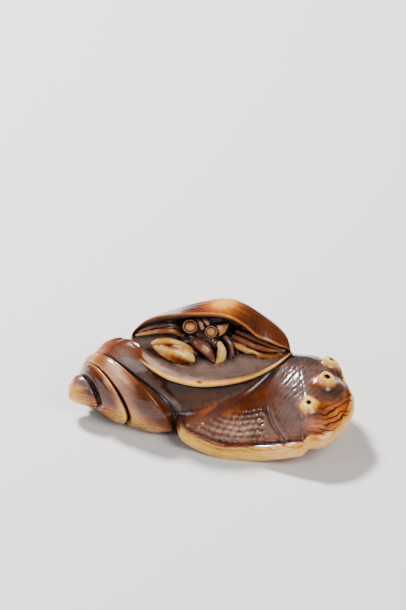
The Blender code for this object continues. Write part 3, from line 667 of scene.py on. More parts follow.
crabForms = {
    "body": ("ball", (0.66, 0.6), ((-0.9, 14.3, 17.6), (5.0, 3.0, 2.6))),
    "belly": ("ball", (0.74, 0.6), ((-1.0, 12.9, 13.6), (5.4, 2.7, 3.2))),
    "leftEyeball": ("ball", (0.4, 0.2), ((-3.9, 10.7, 19.25), (0.95, 0.95, 0.95))),
    "rightEyeball": ("ball", (0.45, 0.3), ((0.2, 10.2, 18.35), (0.84, 0.84, 0.84))),
    "leftSocket": ("socket", (0.52, 0.55), ((-3.9, 10.7, 19.25), 1.42)),
    "rightSocket": ("socket", (0.52, 0.55), ((0.2, 10.2, 18.35), 1.22)),
    "leftBrow": ("limb", (0.42, 0.6), [
        (-2.7, 13.0, 19.8, 0.5), (-1.9, 11.6, 19.5, 0.5), (-1.4, 11.0, 18.4, 0.4),
    ]),
    "middleBrow": ("limb", (0.42, 0.6), [
        (-1.7, 13.2, 19.9, 0.45), (-0.9, 11.9, 19.8, 0.45), (-0.2, 11.3, 19.2, 0.35),
    ]),
    "cheek": ("hull", (0.3, 0.0), [
        (0.8, 11.2, 19.3), (3.9, 12.4, 19.0), (2.9, 11.4, 17.2), (1.5, 10.6, 16.8),
        (2.0, 10.9, 18.2), (0.7, 13.5, 19.0), (4.0, 14.2, 18.5), (3.0, 13.5, 16.4),
        (1.2, 13.0, 16.4),
    ]),
    "jaw": ("limb", (0.62, 0.4), [
        (-2.6, 11.6, 17.1, 0.8), (-0.8, 11.0, 16.6, 0.9), (0.8, 11.0, 16.3, 0.7),
    ]),
    "leftLeg0": ("limb", (0.42, 0.2), [
        (-5.0, 13.0, 15.7, 0.5), (-7.4, 12.3, 17.3, 0.62), (-10.1, 12.2, 17.3, 0.55),
        (-12.4, 12.6, 16.6, 0.45), (-14.6, 13.0, 15.8, 0.28),
    ]),
    "leftLeg1": ("limb", (0.56, 0.4), [
        (-5.0, 13.5, 16.5, 0.5), (-7.6, 12.9, 18.2, 0.58), (-10.3, 12.8, 18.1, 0.52),
        (-12.6, 13.0, 17.3, 0.42), (-14.3, 13.2, 16.2, 0.26),
    ]),
    "leftLeg2": ("limb", (0.6, 0.5), [
        (-5.4, 14.2, 17.2, 0.45), (-7.8, 13.6, 18.9, 0.52), (-10.1, 13.4, 18.9, 0.48),
        (-12.0, 13.4, 18.0, 0.38), (-13.7, 13.4, 16.7, 0.24),
    ]),
    "leftLeg3": ("limb", (0.62, 0.6), [
        (-6.2, 15.0, 17.6, 0.45), (-8.2, 14.4, 19.2, 0.46), (-10.1, 14.2, 19.2, 0.42),
        (-11.7, 14.0, 18.4, 0.28),
    ]),
    "rightLeg0": ("limb", (0.34, 0.15), [
        (3.7, 12.0, 14.9, 0.55), (5.8, 10.8, 14.5, 0.68), (8.5, 10.2, 13.5, 0.62),
        (11.7, 9.8, 13.1, 0.5), (14.6, 9.5, 13.5, 0.3),
    ]),
    "rightLeg1": ("limb", (0.52, 0.3), [
        (4.1, 12.6, 15.9, 0.55), (6.4, 11.5, 15.4, 0.66), (8.9, 10.8, 14.6, 0.6),
        (11.8, 10.2, 14.1, 0.48), (14.8, 9.7, 14.0, 0.28),
    ]),
    "rightLeg2": ("limb", (0.55, 0.4), [
        (4.9, 13.4, 16.6, 0.5), (7.2, 12.3, 16.2, 0.62), (9.7, 11.4, 15.5, 0.56),
        (12.4, 10.6, 14.7, 0.42), (15.0, 9.9, 14.1, 0.25),
    ]),
    "rightLeg3": ("limb", (0.6, 0.5), [
        (5.8, 14.2, 17.0, 0.45), (8.2, 13.0, 16.8, 0.5), (10.5, 12.0, 16.1, 0.46),
        (13.0, 10.9, 15.1, 0.32),
    ]),
    "leftPalm": ("limb", (0.06, 0.1), [
        (-11.2, 9.2, 16.1, 0.35), (-10.1, 8.9, 15.9, 1.0), (-8.2, 8.5, 15.2, 1.6),
        (-5.8, 8.3, 14.2, 1.75), (-4.3, 8.4, 13.3, 1.5), (-3.6, 8.9, 12.8, 0.9),
    ]),
    "leftFinger": ("limb", (0.3, 0.1), [
        (-11.4, 8.9, 16.4, 0.28), (-10.2, 8.8, 17.1, 0.5), (-8.3, 8.7, 17.2, 0.62),
        (-6.4, 8.8, 16.6, 0.66), (-4.5, 9.2, 15.3, 0.7), (-3.2, 9.8, 13.9, 0.7),
    ]),
    "leftArm": ("limb", (0.7, 0.5), [
        (-3.9, 9.4, 13.6, 1.1), (-2.5, 10.6, 13.6, 1.2), (-1.4, 12.0, 13.9, 1.4),
    ]),
    "rightThumb": ("limb", (0.55, 0.45), [
        (-3.7, 10.6, 16.0, 0.7), (-2.1, 9.7, 15.9, 1.1), (-0.6, 8.9, 14.8, 1.05),
        (0.4, 8.3, 13.4, 0.6), (0.9, 8.1, 12.5, 0.25),
    ]),
    "rightFinger": ("limb", (0.14, 0.05), [
        (1.6, 9.9, 16.3, 0.4), (2.2, 9.0, 15.0, 0.85), (2.1, 8.5, 13.6, 0.9), (1.5, 8.2, 12.8, 0.6),
        (1.0, 8.0, 12.3, 0.25),
    ]),
    "rightPalm": ("limb", (0.66, 0.5), [
        (-1.6, 12.0, 15.9, 1.2), (0.4, 10.9, 15.6, 1.1), (1.6, 10.3, 14.8, 0.9),
    ]),
    "nearSegment": ("limb", (0.58, 0.7), [
        (2.7, 11.6, 16.6, 0.5), (3.9, 10.6, 15.1, 0.52), (4.1, 9.8, 13.3, 0.5),
        (3.1, 9.4, 11.9, 0.4),
    ]),
    "farSegment": ("limb", (0.64, 0.7), [
        (3.7, 12.4, 15.8, 0.55), (5.0, 11.6, 14.3, 0.55), (5.2, 10.8, 12.6, 0.5),
        (4.3, 10.4, 11.2, 0.4),
    ]),
}
limbCounts = {   # steps from stop to stop, and sides
    "leftPalm": (32, 26), "rightThumb": (26, 22), "rightFinger": (26, 22), "others": (12, 16),
}
crabLumps = [(0.06, 0.7, 2.0), (0.04, 2.0, 0.0)]
eyeStem = {
    "facing": Vector((0.05, -0.9, 0.35)),
    "profile": [   # along the stem and outwards, in radii of the socket
        (-2.2, 0.9), (-0.6, 0.96), (-0.25, 0.98), (-0.08, 0.94), (-0.02, 0.86), (-0.06, 0.78),
        (-0.16, 0.72), (-0.2, 0.5),
    ],
    "rings": 30,
    "sides": 32,
}
rubbedEdge = {"offset": 0.16, "segments": 2, "profile": 0.6}


def eyeSocket(name, collection, middle, radius):
    # a round stem that faces the viewer, with a raised ring and a groove about the eyeball
    middle, facing = Vector(middle), eyeStem["facing"].normalized()
    rows = [(float(k), *row) for k, row in enumerate(eyeStem["profile"])]
    side = facing.orthogonal().normalized()
    other = facing.cross(side)

    def place(ring, turn):
        along, out = through(rows, ring * (len(rows) - 1))
        if ring in (0.0, 1.0):
            return middle + facing * along * radius
        angle = 2 * math.pi * turn
        outward = side * math.cos(angle) + other * math.sin(angle)
        return middle + facing * along * radius + outward * out * radius

    return addRings(name, collection, eyeStem["rings"], eyeStem["sides"], place)


def hullForm(name, collection, points):
    # a faceted form round the points, with its edges rubbed
    form = bmesh.new()
    for point in points:
        form.verts.new(point)
    bmesh.ops.convex_hull(form, input=form.verts)
    bmesh.ops.delete(form, geom=[vert for vert in form.verts if not vert.link_faces], context="VERTS")
    bmesh.ops.bevel(form, geom=form.edges, affect="EDGES", clamp_overlap=True, **rubbedEdge)
    bmesh.ops.triangulate(form, faces=form.faces)
    form.verts.layers.float_vector.new("mark")
    return addPiece(name, finishedForm(name, form, None), collection)


def crabRelief(point, ring, side):
    return uneven(point, crabLumps)


def crabCarving(parts):
    for name, (kind, _, shape) in crabForms.items():
        if kind == "ball":
            ellipsoid(name, parts, *shape)
        elif kind == "socket":
            eyeSocket(name, parts, *shape)
        elif kind == "hull":
            hullForm(name, parts, shape)
        else:
            limb(name, parts, shape, *limbCounts.get(name, limbCounts["others"]), crabRelief)


# Underside: two cord holes that join in a tunnel, and the trim that leaves the flats it rests on

cordTunnel = {
    "middle": Vector((12.5, 1.5)),
    "spacing": 8.5,
    "small": 1.7,      # radius at the left hole
    "large": 2.3,      # and at the right one
    "rise": 1.2,       # of its bend's ends over the table
    "sunk": -1.2,      # where it starts and ends, under the table
    "ends": 0.06,      # share of its rings that is sunk, at each end
    "bend": 0.7,       # height of the bend for its half width
    "rings": 22,
    "sides": 36,
}
trimBlock = Vector((120, 120, 6))   # what it is trimmed with, under the table's level


def tunnelForm(collection):
    half, ends, bend = cordTunnel["spacing"] / 2, cordTunnel["ends"], cordTunnel["bend"]
    middle = cordTunnel["middle"]

    def place(ring, side):
        share = min(1.0, max(0.0, (ring - ends) / (1 - 2 * ends)))
        angle = math.pi * share
        height = cordTunnel["rise"] if ends <= ring <= 1 - ends else cordTunnel["sunk"]
        height += half * bend * math.sin(angle)
        spot = Vector((middle.x - half * math.cos(angle), middle.y, height))
        if ring in (0.0, 1.0):
            return spot
        way = Vector((math.sin(angle), 0.0, bend * math.cos(angle))).normalized()
        out = Vector((-way.z, 0.0, way.x))
        radius = cordTunnel["small"] + (cordTunnel["large"] - cordTunnel["small"]) * share
        turn = 2 * math.pi * side
        return spot + (Vector((0.0, 1.0, 0.0)) * math.cos(turn) + out * math.sin(turn)) * radius

    return addRings("cordTunnel", collection, cordTunnel["rings"], cordTunnel["sides"], place)


def holeCrown(hole):
    # the middle of a breathing hole, on top of its mound
    return Vector((*hole["at"], abaloneTop(*hole["at"]) + hole["high"]))


def holeDrills(collection):
    step = holeBoring["slopeStep"]
    for k, hole in enumerate(breathingHoles):
        x, y = hole["at"]
        slope = Vector((
            (abaloneTop(x - step, y) - abaloneTop(x + step, y)) / (2 * step),
            (abaloneTop(x, y - step) - abaloneTop(x, y + step)) / (2 * step),
            1.0,
        ))
        way = (slope.normalized() + holeBoring["tilt"]).normalized()
        profile = [*holeBoring["flare"], (0.0, hole["radius"]), (-holeBoring["depth"], hole["radius"])]
        stops = [(*(holeCrown(hole) + way * along), radius) for along, radius in profile]
        limb(f"holeDrill{k}", collection, stops, *holeBoring["counts"])


def tableTrim(collection):
    form = bmesh.new()
    bmesh.ops.create_cube(form, size=1.0)
    for vert in form.verts:
        vert.co = vert.co * trimBlock - Vector((0.0, 0.0, trimBlock.z / 2))
    mesh = bpy.data.meshes.new("tableTrim")
    form.to_mesh(mesh)
    form.free()
    return addPiece("tableTrim", mesh, collection)


def booleanStep(piece, operation, target):
    step = piece.modifiers.new(operation.lower(), "BOOLEAN")
    step.operation = operation
    step.solver = "EXACT"
    if isinstance(target, bpy.types.Collection):
        step.operand_type = "COLLECTION"
        step.collection = target
    else:
        step.object = target


softening = {
    "reach": {   # mm to each side of where two forms meet
        frozenset(("clam", "abalone")): 3.2,
        frozenset(("clam", "spiral")): 1.0,
        frozenset(("spiral", "abalone")): 0.8,
    },
    "otherReach": 0.3,
    "shortReach": (1.2, 0.25),   # a join is softened by its reach over the first, plus the second, up to 1
    "sharp": ("lip", "lipTop", "undercut"),   # stretches of the clam that keep their edges
    "edgeLength": 0.1,           # mm from point to point, about
    "pull": 0.6,                 # of the way to its neighbours' middle that a point goes in a round
    "rounds": 100,
}


def onClam(names, marks, stretches):
    # which points come from these stretches of the clam's section
    found = [name == "clamForm" and clamStretch(mark[1])[0] in stretches for name, mark in zip(names, marks)]
    return np.array(found)


def softenJoins(mesh, names, marks):
    # rubs down the corner along each join, as the forms are carved out of one block
    places, _, edges = vertexArrays(mesh)
    forms = [formOf(name) for name in names]
    length = np.linalg.norm(places[edges[:, 1]] - places[edges[:, 0]], axis=1)
    weights = np.zeros(len(places))
    pairs = {}
    for k, (a, b) in enumerate(edges):
        if names[a] != names[b]:
            reach = softening["reach"].get(frozenset((forms[a], forms[b])), softening["otherReach"])
            pairs.setdefault(reach, []).append(k)
    full, least = softening["shortReach"]
    for reach, joins in pairs.items():
        distance = np.full(len(places), 1e3)
        distance[edges[joins].ravel()] = 0.0
        for _ in range(int(reach / softening["edgeLength"]) + 3):
            for here, there in ((0, 1), (1, 0)):
                np.minimum.at(distance, edges[:, here], distance[edges[:, there]] + length)
        share = np.clip(1 - distance / reach, 0, 1)
        weights = np.maximum(weights, share * share * (3 - 2 * share) * min(1.0, reach / full + least))
    weights[onClam(names, marks, softening["sharp"])] = 0.0
    pull = (softening["pull"] * weights)[:, None]
    count = np.bincount(edges.ravel(), minlength=len(places)).astype(float)
    for _ in range(softening["rounds"]):
        total = np.zeros_like(places)
        for here, there in ((0, 1), (1, 0)):
            for axis in range(3):
                total[:, axis] += np.bincount(edges[:, here], places[edges[:, there], axis], len(places))
        places = places + (total / np.maximum(count, 1)[:, None] - places) * pull
    mesh.vertices.foreach_set("co", places.ravel())
    mesh.update()


def carve():
    # joins the forms into one closed skin, as they are one piece of ivory
    bench = bpy.context.scene.collection
    parts, cutters = (bpy.data.collections.new(name) for name in ("joinedForms", "cutForms"))
    bench.children.link(parts)
    bench.children.link(cutters)
    clam = addRings("clamForm", bench, clamShell["stations"], clamSides, clamPoint, clamRelief)
    rings, sides = sum(abaloneShell["rows"]), abaloneShell["sides"]
    abalone = addRings("abaloneForm", parts, rings, sides, abalonePoint, abaloneRelief)
    spiral = addPiece("spiralForm", spiralMesh(), parts)
    hollow = addRings("mouthHollow", bench, *mouthCounts, mouthPoint)
    for shell in (spiral, abalone):
        booleanStep(shell, "DIFFERENCE", hollow)
    crabCarving(parts)
    holeDrills(cutters)
    tunnelForm(cutters)
    tableTrim(cutters)
    booleanStep(clam, "UNION", parts)
    booleanStep(clam, "DIFFERENCE", cutters)
    forms = [clam, *parts.objects]
    print("forms", sum(len(form.data.vertices) for form in forms), "points")
    graph = bpy.context.evaluated_depsgraph_get()
    mesh = bpy.data.meshes.new_from_object(clam.evaluated_get(graph))
    sources = {}
    for form in forms:
        kept = [tuple(item.vector) for item in form.data.attributes["mark"].data]
        sources[form.name] = ([vert.co.copy() for vert in form.data.vertices], kept)
    for helper in [clam, hollow, *parts.objects, *cutters.objects]:
        bpy.data.objects.remove(helper)
    for group in (parts, cutters):
        bpy.data.collections.remove(group)
    for name in [attribute.name for attribute in mesh.attributes if attribute.name == "mark"]:
        mesh.attributes.remove(mesh.attributes[name])
    return mesh, sources


# Stain and painted light: how dark the ivory is, from 0, cream, to 1, nearly black, and how mauve instead of
# amber.
# Base tones by form, then soft patches as seen from the front and above, a few of them painted shadows and
# highlights, in mm across and up the picture: across, up, half width, half height, lean in degrees, and the
# darkness, the mauve and for some the grain lines that they bring.

spiralTones = [   # by whorl from the tip: stain and mauve
    (-1.0, 0.5, 0.3), (0.3, 0.54, 0.6), (0.75, 0.62, 0.8), (0.97, 0.68, 0.7), (1.08, 0.68, 0.2),
    (1.3, 0.72, 0.0), (1.55, 0.70, 0.0), (1.75, 0.42, 0.2), (1.92, 0.34, 0.1), (1.99, 0.7, 0.2),
    (2.06, 0.5, 0.1), (2.14, 0.34, 0.3), (2.35, 0.38, 0.7), (2.55, 0.46, 0.65), (2.75, 0.62, 0.1),
    (2.9, 0.68, 0.0), (2.99, 0.72, 0.2), (3.08, 0.58, 0.8), (3.3, 0.58, 0.8), (3.6, 0.66, 0.1),
    (4.2, 0.66, 0.1), (5.0, 0.66, 0.1),
]
clamTones = {     # by stretch of its section: stain and mauve
    # stain and mauve by stretch; the undercut's near black is stain with painted shade under the overhanging
    # lip
    "lip": (0.36, 0.0), "lipTop": (0.30, 0.0), "undercut": (0.95, 0.0), "front": (0.74, 0.0),
    "under": (0.6, 0.2), "back": (0.56, 0.0), "crown": (0.58, 0.0), "upperLip": (0.46, 0.15),
    "ceiling": (0.54, 0.8), "floor": (0.38, 1.0),
}
clamGrooveTone = 0.16
abaloneTones = {
    "back": (0.66, 0.55),                # stain and mauve
    "rim": 0.20,
    # painted shadow of the clam on the rim: the degrees where it is dark, and where it clears to cream
    "darkRim": (150.0, 200.0, 207.0),    # degrees: dark from the first, clearing between the others
    "darkRimMauve": 0.15,
    "under": (0.30, 0.15, 0.2),          # more stain than the rim, its mauve and grain lines
    "cream": (0.35, 2.2),                # mm from the rim where the cream starts to end, and ends
    "warm": (1.1, 0.8),                  # mm from the rim of a warmer band, and half its width
}
stainAndPaintedLightPatches = {
    "spiral": [
        # the apex knob's worn cream, held darker than its wear alone as painted shade
        (-26.0, 8.3, 2.0, 2.8, 20, 0.2, 0.0),
        (-24.0, 7.2, 2.4, 0.9, -22, 0.24, 0.0),
        (-24.2, 12.0, 1.6, 1.6, -30, 0.6, 0.95),
        (-21.2, 6.3, 4.2, 1.2, -27, 0.36, 0.0, 1.0),
        (-11.9, 6.4, 3.8, 2.2, -38, 0.68, 0.0, 0.3),
        (-15.9, 3.0, 3.8, 2.1, -24, 0.14, 0.0, 1.0),
        (-11.6, 1.8, 5.0, 1.1, -4, 0.26, 0.0, 1.0),
        (-20.8, 15.0, 2.2, 1.4, 40, 0.54, 0.0),
        # whorl 3's pink, made lighter at its top as a painted highlight
        (-18.6, 13.6, 1.6, 3.4, 48, 0.3, 0.7),
        (-19.5, 17.3, 3.0, 1.0, 40, 0.52, 0.0),
        (-17.0, 18.8, 3.4, 0.9, 38, 0.66, 0.0),
        (-16.8, 16.6, 2.0, 1.2, 0, 0.56, 0.9),
        (-22.9, 16.6, 0.9, 2.0, -50, 0.34, 0.0),
    ],
    "abalone": [
        (6.8, 9.2, 10.0, 3.4, 4, 0.64, 0.0),
        (-2.0, 2.9, 3.4, 2.6, 0, 0.62, 0.3),
        (4.9, 5.4, 6.0, 1.0, 16, 0.56, 0.0),
        (4.0, 2.0, 7.4, 2.8, 4, 0.34, 0.75),
        (16.1, 4.6, 3.6, 4.0, 0, 0.6, 0.85),
        (16.9, 12.0, 4.2, 4.4, 0, 0.64, 0.95),
        (17.5, 16.2, 5.0, 1.8, 0, 0.74, 0.75),
        (22.0, 6.8, 2.8, 1.5, 28, 0.62, 0.0),
        (21.6, 4.6, 2.4, 1.0, 25, 0.7, 0.05),
        (23.4, 9.2, 2.2, 1.5, 0, 0.74, 0.6),
        (20.1, 3.3, 2.2, 1.5, 0, 0.38, 0.5),
        (25.0, 4.2, 3.4, 4.8, -32, 0.44, 0.0, 1.0),
        (20.1, 11.0, 0.9, 1.4, 0, 0.58, 0.0),
    ],
    "clam": [
        # a painted highlight: lighter over the crown's top
        (2.4, 27.2, 3.8, 2.6, 0, 0.24, 0.0),
        (-7.6, 25.4, 5.6, 2.2, 15, 0.74, 0.0),
        (10.0, 23.5, 3.6, 2.8, -40, 0.70, 0.0),
        (14.4, 19.4, 1.6, 2.2, -30, 0.56, 0.0),
        # a band of painted shadow on the wall under the lower lip
        (2.0, 10.4, 14.0, 1.1, 0, 0.84, 0.0),
    ],
    "crab": [
        # painted shade in the gap between the left claw's finger and palm
        (-7.6, 18.2, 1.6, 0.5, -20, 0.55, 0.0),
        # painted shadow along the left claw's underside
        (-5.2, 15.2, 4.4, 0.6, -24, 0.66, 0.0),
        # a painted highlight on the right claw's upper finger
        (-1.0, 17.4, 0.9, 0.4, -40, 0.2, 0.4),
        (3.2, 20.6, 0.5, 1.6, -30, 0.6, 0.1),
    ],
}
lipPore = (-2.14, 11.3, 0.3, 0.22, 0, 1.0)   # a dark pore in the lower lip, as a patch


def abaloneToneAt(ring, side):
    tones = abaloneTones
    back, rim = tones["back"][0], tones["rim"]
    stretch, along = abaloneStep(ring)
    degrees = math.degrees(abaloneTurn(side)) % 360
    shadowFrom, *clearing = tones["darkRim"]
    # painted shadow: under the clam the rim keeps the back's dark tone, clearing towards cream
    if shadowFrom < degrees < clearing[1]:
        return back - (back - rim) * smoothStep(*clearing, degrees), tones["darkRimMauve"], 0.0
    if stretch == 1:
        return rim, 0.0, 0.25 * hump(along, 0.0, 0.4)
    if stretch == 2:
        more, mauve, lines = tones["under"]
        return rim + more * smoothStep(0.05, 0.5, along), mauve, lines
    toRim = abaloneEdge(degrees)[0] * (1 - along)
    if toRim < tones["cream"][1]:
        # cream at the rim, then a warmer band, then the back's own stain and mauve
        share = smoothStep(*tones["cream"], toRim)
        warm = hump(toRim, *tones["warm"])
        return 0.22 + 0.36 * share + 0.3 * warm, 0.05 + 0.45 * share * (1 - warm), 0.5 * (1 - share)
    return (*tones["back"], 0.0)


def toneAt(name, ring, side):
    # darkness (stain, with painted shade on the clam's undercut and on the abalone's rim under the clam),
    # mauve and grain lines before the patches; name is the form's own
    if name == "spiralForm":
        return (*through(spiralTones, ring), 0.0)
    if name == "abaloneForm":
        return abaloneToneAt(ring, side)
    if name == "clamForm":
        stretch, along = clamStretch(side)
        stainAndPaintedLight, mauve = clamTones[stretch]
        return stainAndPaintedLight + clamGrooveTone * valveGroove(stretch, along, ring), mauve, 0.0
    return (*crabForms[name][1], 0.0)


def formOf(name):
    return name.replace("Form", "") if name.endswith("Form") else "crab"


def vertexArrays(mesh):
    count = len(mesh.vertices)
    places, normals = np.empty(count * 3), np.empty(count * 3)
    mesh.vertices.foreach_get("co", places)
    mesh.vertices.foreach_get("normal", normals)
    edges = np.empty(len(mesh.edges) * 2, dtype=np.int64)
    mesh.edges.foreach_get("vertices", edges)
    return places.reshape(-1, 3), normals.reshape(-1, 3), edges.reshape(-1, 2)


def smoothed(values, edges, rounds):
    for _ in range(rounds):
        total, count = values.copy(), np.ones(len(values))
        for here, there in ((0, 1), (1, 0)):
            np.add.at(total, edges[:, here], values[edges[:, there]])
            np.add.at(count, edges[:, here], 1.0)
        values = total / count
    return values


recessRays = {
    "count": 13,
    "reach": 2.6,            # mm
    "tilts": (32.0, 62.0),   # degrees from the normal, by turns
    "turn": 2.4,             # radians from one ray to the next
    "lift": 0.03,            # mm off the surface
}


def recessShades(mesh, places, normals):
    # how much of the sky nearby forms hide, from short rays about each point's normal
    polygons = [face.vertices for face in mesh.polygons]
    tree = BVHTree.FromPolygons([vert.co for vert in mesh.vertices], polygons)
    rays, reach, tilts = recessRays["count"], recessRays["reach"], recessRays["tilts"]
    turns = [(math.radians(tilts[k % 2]), recessRays["turn"] * k) for k in range(rays - 1)]
    shades = np.zeros(len(places))
    for k, (place, normal) in enumerate(zip(places, normals)):
        up = Vector(normal)
        side = up.orthogonal().normalized()
        other = up.cross(side)
        start = Vector(place) + up * recessRays["lift"]
        found = 0.0
        for tilt, turn in [(0.0, 0.0), *turns]:
            level = side * math.cos(turn) + other * math.sin(turn)
            distance = tree.ray_cast(start, up * math.cos(tilt) + level * math.sin(tilt), reach)[3]
            if distance is not None:
                found += 1 - distance / reach
        shades[k] = found / rays
    return shades


def bends(places, normals, edges):
    # above 0 in hollows and under 0 on ridges, per mm
    found, count = np.zeros(len(places)), np.zeros(len(places))
    way = places[edges[:, 1]] - places[edges[:, 0]]
    length = np.maximum(np.linalg.norm(way, axis=1), 0.02)
    for here, sign in ((0, 1.0), (1, -1.0)):
        rise = np.sum(way * normals[edges[:, here]], axis=1) * sign / length**2
        np.add.at(found, edges[:, here], np.clip(rise, -4, 4))
        np.add.at(count, edges[:, here], 1.0)
    return found / np.maximum(count, 1)


patchFade = {
    "facing": (0.1, 0.35),   # it ends on what turns away from the viewer
    "edge": (1.3, 0.9),      # how sharply it ends, and how soon
}


def patchWeights(places, normals, patch):
    across, up, wide, tall, lean = patch[:5]
    x = places[:, 0] - across
    y = places @ np.array(drawing["upPicture"]) - up
    turn = math.radians(lean)
    along = (x * math.cos(turn) + y * math.sin(turn)) / wide
    over = (y * math.cos(turn) - x * math.sin(turn)) / tall
    least, span = patchFade["facing"]
    sharpness, gain = patchFade["edge"]
    facing = np.clip((normals @ np.array(drawing["toViewer"]) + least) / span, 0, 1)
    return np.exp(-(along**2 + over**2) ** sharpness * gain) * facing


def nearestMarks(places, sources):
    # the form that each point of the joined carving comes from, and that form's own numbers there
    names, marks = [], []
    tree = KDTree(sum(len(points) for points, _ in sources.values()))
    for name, (points, formMarks) in sources.items():
        for point, mark in zip(points, formMarks):
            tree.insert(point, len(names))
            names.append(name)
            marks.append(mark)
    tree.balance()
    found = [tree.find(place)[1] for place in places]
    return [names[k] for k in found], [marks[k] for k in found]


maskForming = {
    "opening": ("lip", "lipTop", "upperLip", "ceiling", "floor", "undercut"),   # the patches leave these
    "walls": ("front", "under", "floor", "ceiling", "undercut"),                # less polished
    "wallRounds": 6,
    "poreBefore": 1.0,                # the pore's patch counts only in front of this, in mm
    "poreAbove": 12.5,                # and above this
    "creamTone": (0.20, 0.0),         # of the worn patches about the breathing holes: stain and mauve
    "creamRagged": (0.35, 1.1, 7.0),  # their edges: depth, size, seed
    "creamFade": 0.7,
    "crease": 1.4,                    # gain on the bend in hollows
    "ridge": (1.3, 0.15),             # gain on the bend of ridges, and what is taken off it
    # fine hair lines: across, up, half width and half height as the viewer sees them, in mm
    "abaloneHair": (16.6, 11.0, 4.5, 4.0),
    "clamHair": (10.5, 22.5, 4.0, 3.5),
    "clamHairShare": 0.7,
    "clamHairBehind": 2.0,
}


def softSpot(places, across, up, wide, tall):
    # 1 at a place as the viewer sees it, fading out about it
    upPlaces = places @ np.array(drawing["upPicture"])
    return np.exp(-((places[:, 0] - across) / wide) ** 2 - ((upPlaces - up) / tall) ** 2)


def wornCream(places, hole):
    # how cream it is about a breathing hole, with a ragged edge
    depth, size, seed = maskForming["creamRagged"]
    ragged = np.array([depth * grain(place, size, seed) for place in places])
    away = np.linalg.norm(places - np.array(holeCrown(hole)), axis=1)
    return np.clip((hole["cream"] + ragged - away) / maskForming["creamFade"], 0, 1)


def stainAndPaintedLightMasks(mesh, names, marks):
    places, normals, edges = vertexArrays(mesh)
    tones = np.array([toneAt(name, mark[0], mark[1]) for name, mark in zip(names, marks)])
    masks = {"stainAndPaintedLight": tones[:, 0], "mauve": tones[:, 1], "lines": tones[:, 2]}
    forms = np.array([formOf(name) for name in names])
    inside = onClam(names, marks, maskForming["opening"])
    rim = [name == "abaloneForm" and abaloneStep(mark[0])[0] > 0 for name, mark in zip(names, marks)]

    def lay(values, where, weights):
        # moves the masks towards these values there
        for mark, value in zip(("stainAndPaintedLight", "mauve", "lines"), values):
            masks[mark][where] += (value - masks[mark][where]) * weights

    for form, patches in stainAndPaintedLightPatches.items():
        here = (forms == form) & ~inside & ~np.array(rim)
        for patch in patches:
            lay(patch[5:], here, patchWeights(places[here], normals[here], patch))
    everywhere = slice(None)
    onLip = (places[:, 1] < maskForming["poreBefore"]) & (places[:, 2] > maskForming["poreAbove"])
    lay(lipPore[5:], everywhere, patchWeights(places, normals, lipPore) * ((forms == "clam") & onLip))
    for hole in breathingHoles:
        lay(maskForming["creamTone"], everywhere, (forms == "abalone") * wornCream(places, hole))
    masks = {mark: smoothed(values, edges, 1) for mark, values in masks.items()}
    masks["recess"] = smoothed(recessShades(mesh, places, normals), edges, 1)
    bend = smoothed(bends(places, normals, edges), edges, 2)
    gain, start = maskForming["ridge"]
    masks["crease"] = np.clip(bend * maskForming["crease"], 0, 1)
    masks["ridge"] = np.clip(-bend * gain - start, 0, 1)
    walls = onClam(names, marks, maskForming["walls"]).astype(float)
    masks["matte"] = smoothed(walls, edges, maskForming["wallRounds"])
    shoulder = (forms == "abalone") * softSpot(places, *maskForming["abaloneHair"])
    onShoulder = (forms == "clam") & (places[:, 1] > maskForming["clamHairBehind"])
    streaks = onShoulder * softSpot(places, *maskForming["clamHair"])
    masks["hair"] = shoulder + streaks * maskForming["clamHairShare"]
    return masks


# Stained ivory: polished, amber to dark brown in the recesses and worn to cream on the ridges

ivoryFinish = {
    "warm": [
        (0.00, (0.95, 0.68, 0.21)), (0.20, (0.74, 0.38, 0.050)), (0.40, (0.37, 0.088, 0.004)),
        (0.60, (0.110, 0.019, 0.0012)), (0.80, (0.030, 0.0070, 0.0015)), (1.00, (0.005, 0.0025, 0.0015)),
    ],
    "cool": [
        (0.00, (0.84, 0.66, 0.48)), (0.25, (0.46, 0.29, 0.225)), (0.50, (0.155, 0.095, 0.078)),
        (0.75, (0.045, 0.027, 0.023)), (1.00, (0.007, 0.005, 0.004)),
    ],
    "lineStep": 0.62,        # mm between the grain lines that follow the height
    "lineTone": 0.5,
    "mottles": {             # uneven colour: lumps to a metre, detail, roughness, and how much it adds
        "broad": (240.0, 3.0, 0.55, 0.34),
        "fine": (1300.0, 4.0, 0.65, 0.16),
        "cool": (420.0, 2.0, 0.55, 0.5),
    },
    "darkens": {"recess": 0.42, "crease": 0.50, "ridge": -0.20},
    "roughness": {"least": 0.14, "recess": 0.45, "matte": 0.3, "uneven": 0.14},
    "gloss": (0.32, -0.24),  # and what the matte walls add to it
    "surface": {
        "Coat Weight": 0.3,
        "Coat Roughness": 0.06,
        "Subsurface Weight": 0.05,
        "Subsurface Radius": (1.0, 0.45, 0.2),
        "Subsurface Scale": 0.0012,
        "IOR": 1.48,
    },
    "grain": {"Strength": 0.12, "Distance": 0.0002},
    "hair": {"Rotation": (0.0, 0.35, -0.8), "Scale": (7.0, 0.6, 1.0)},
    "hairStrength": 4.0,
}


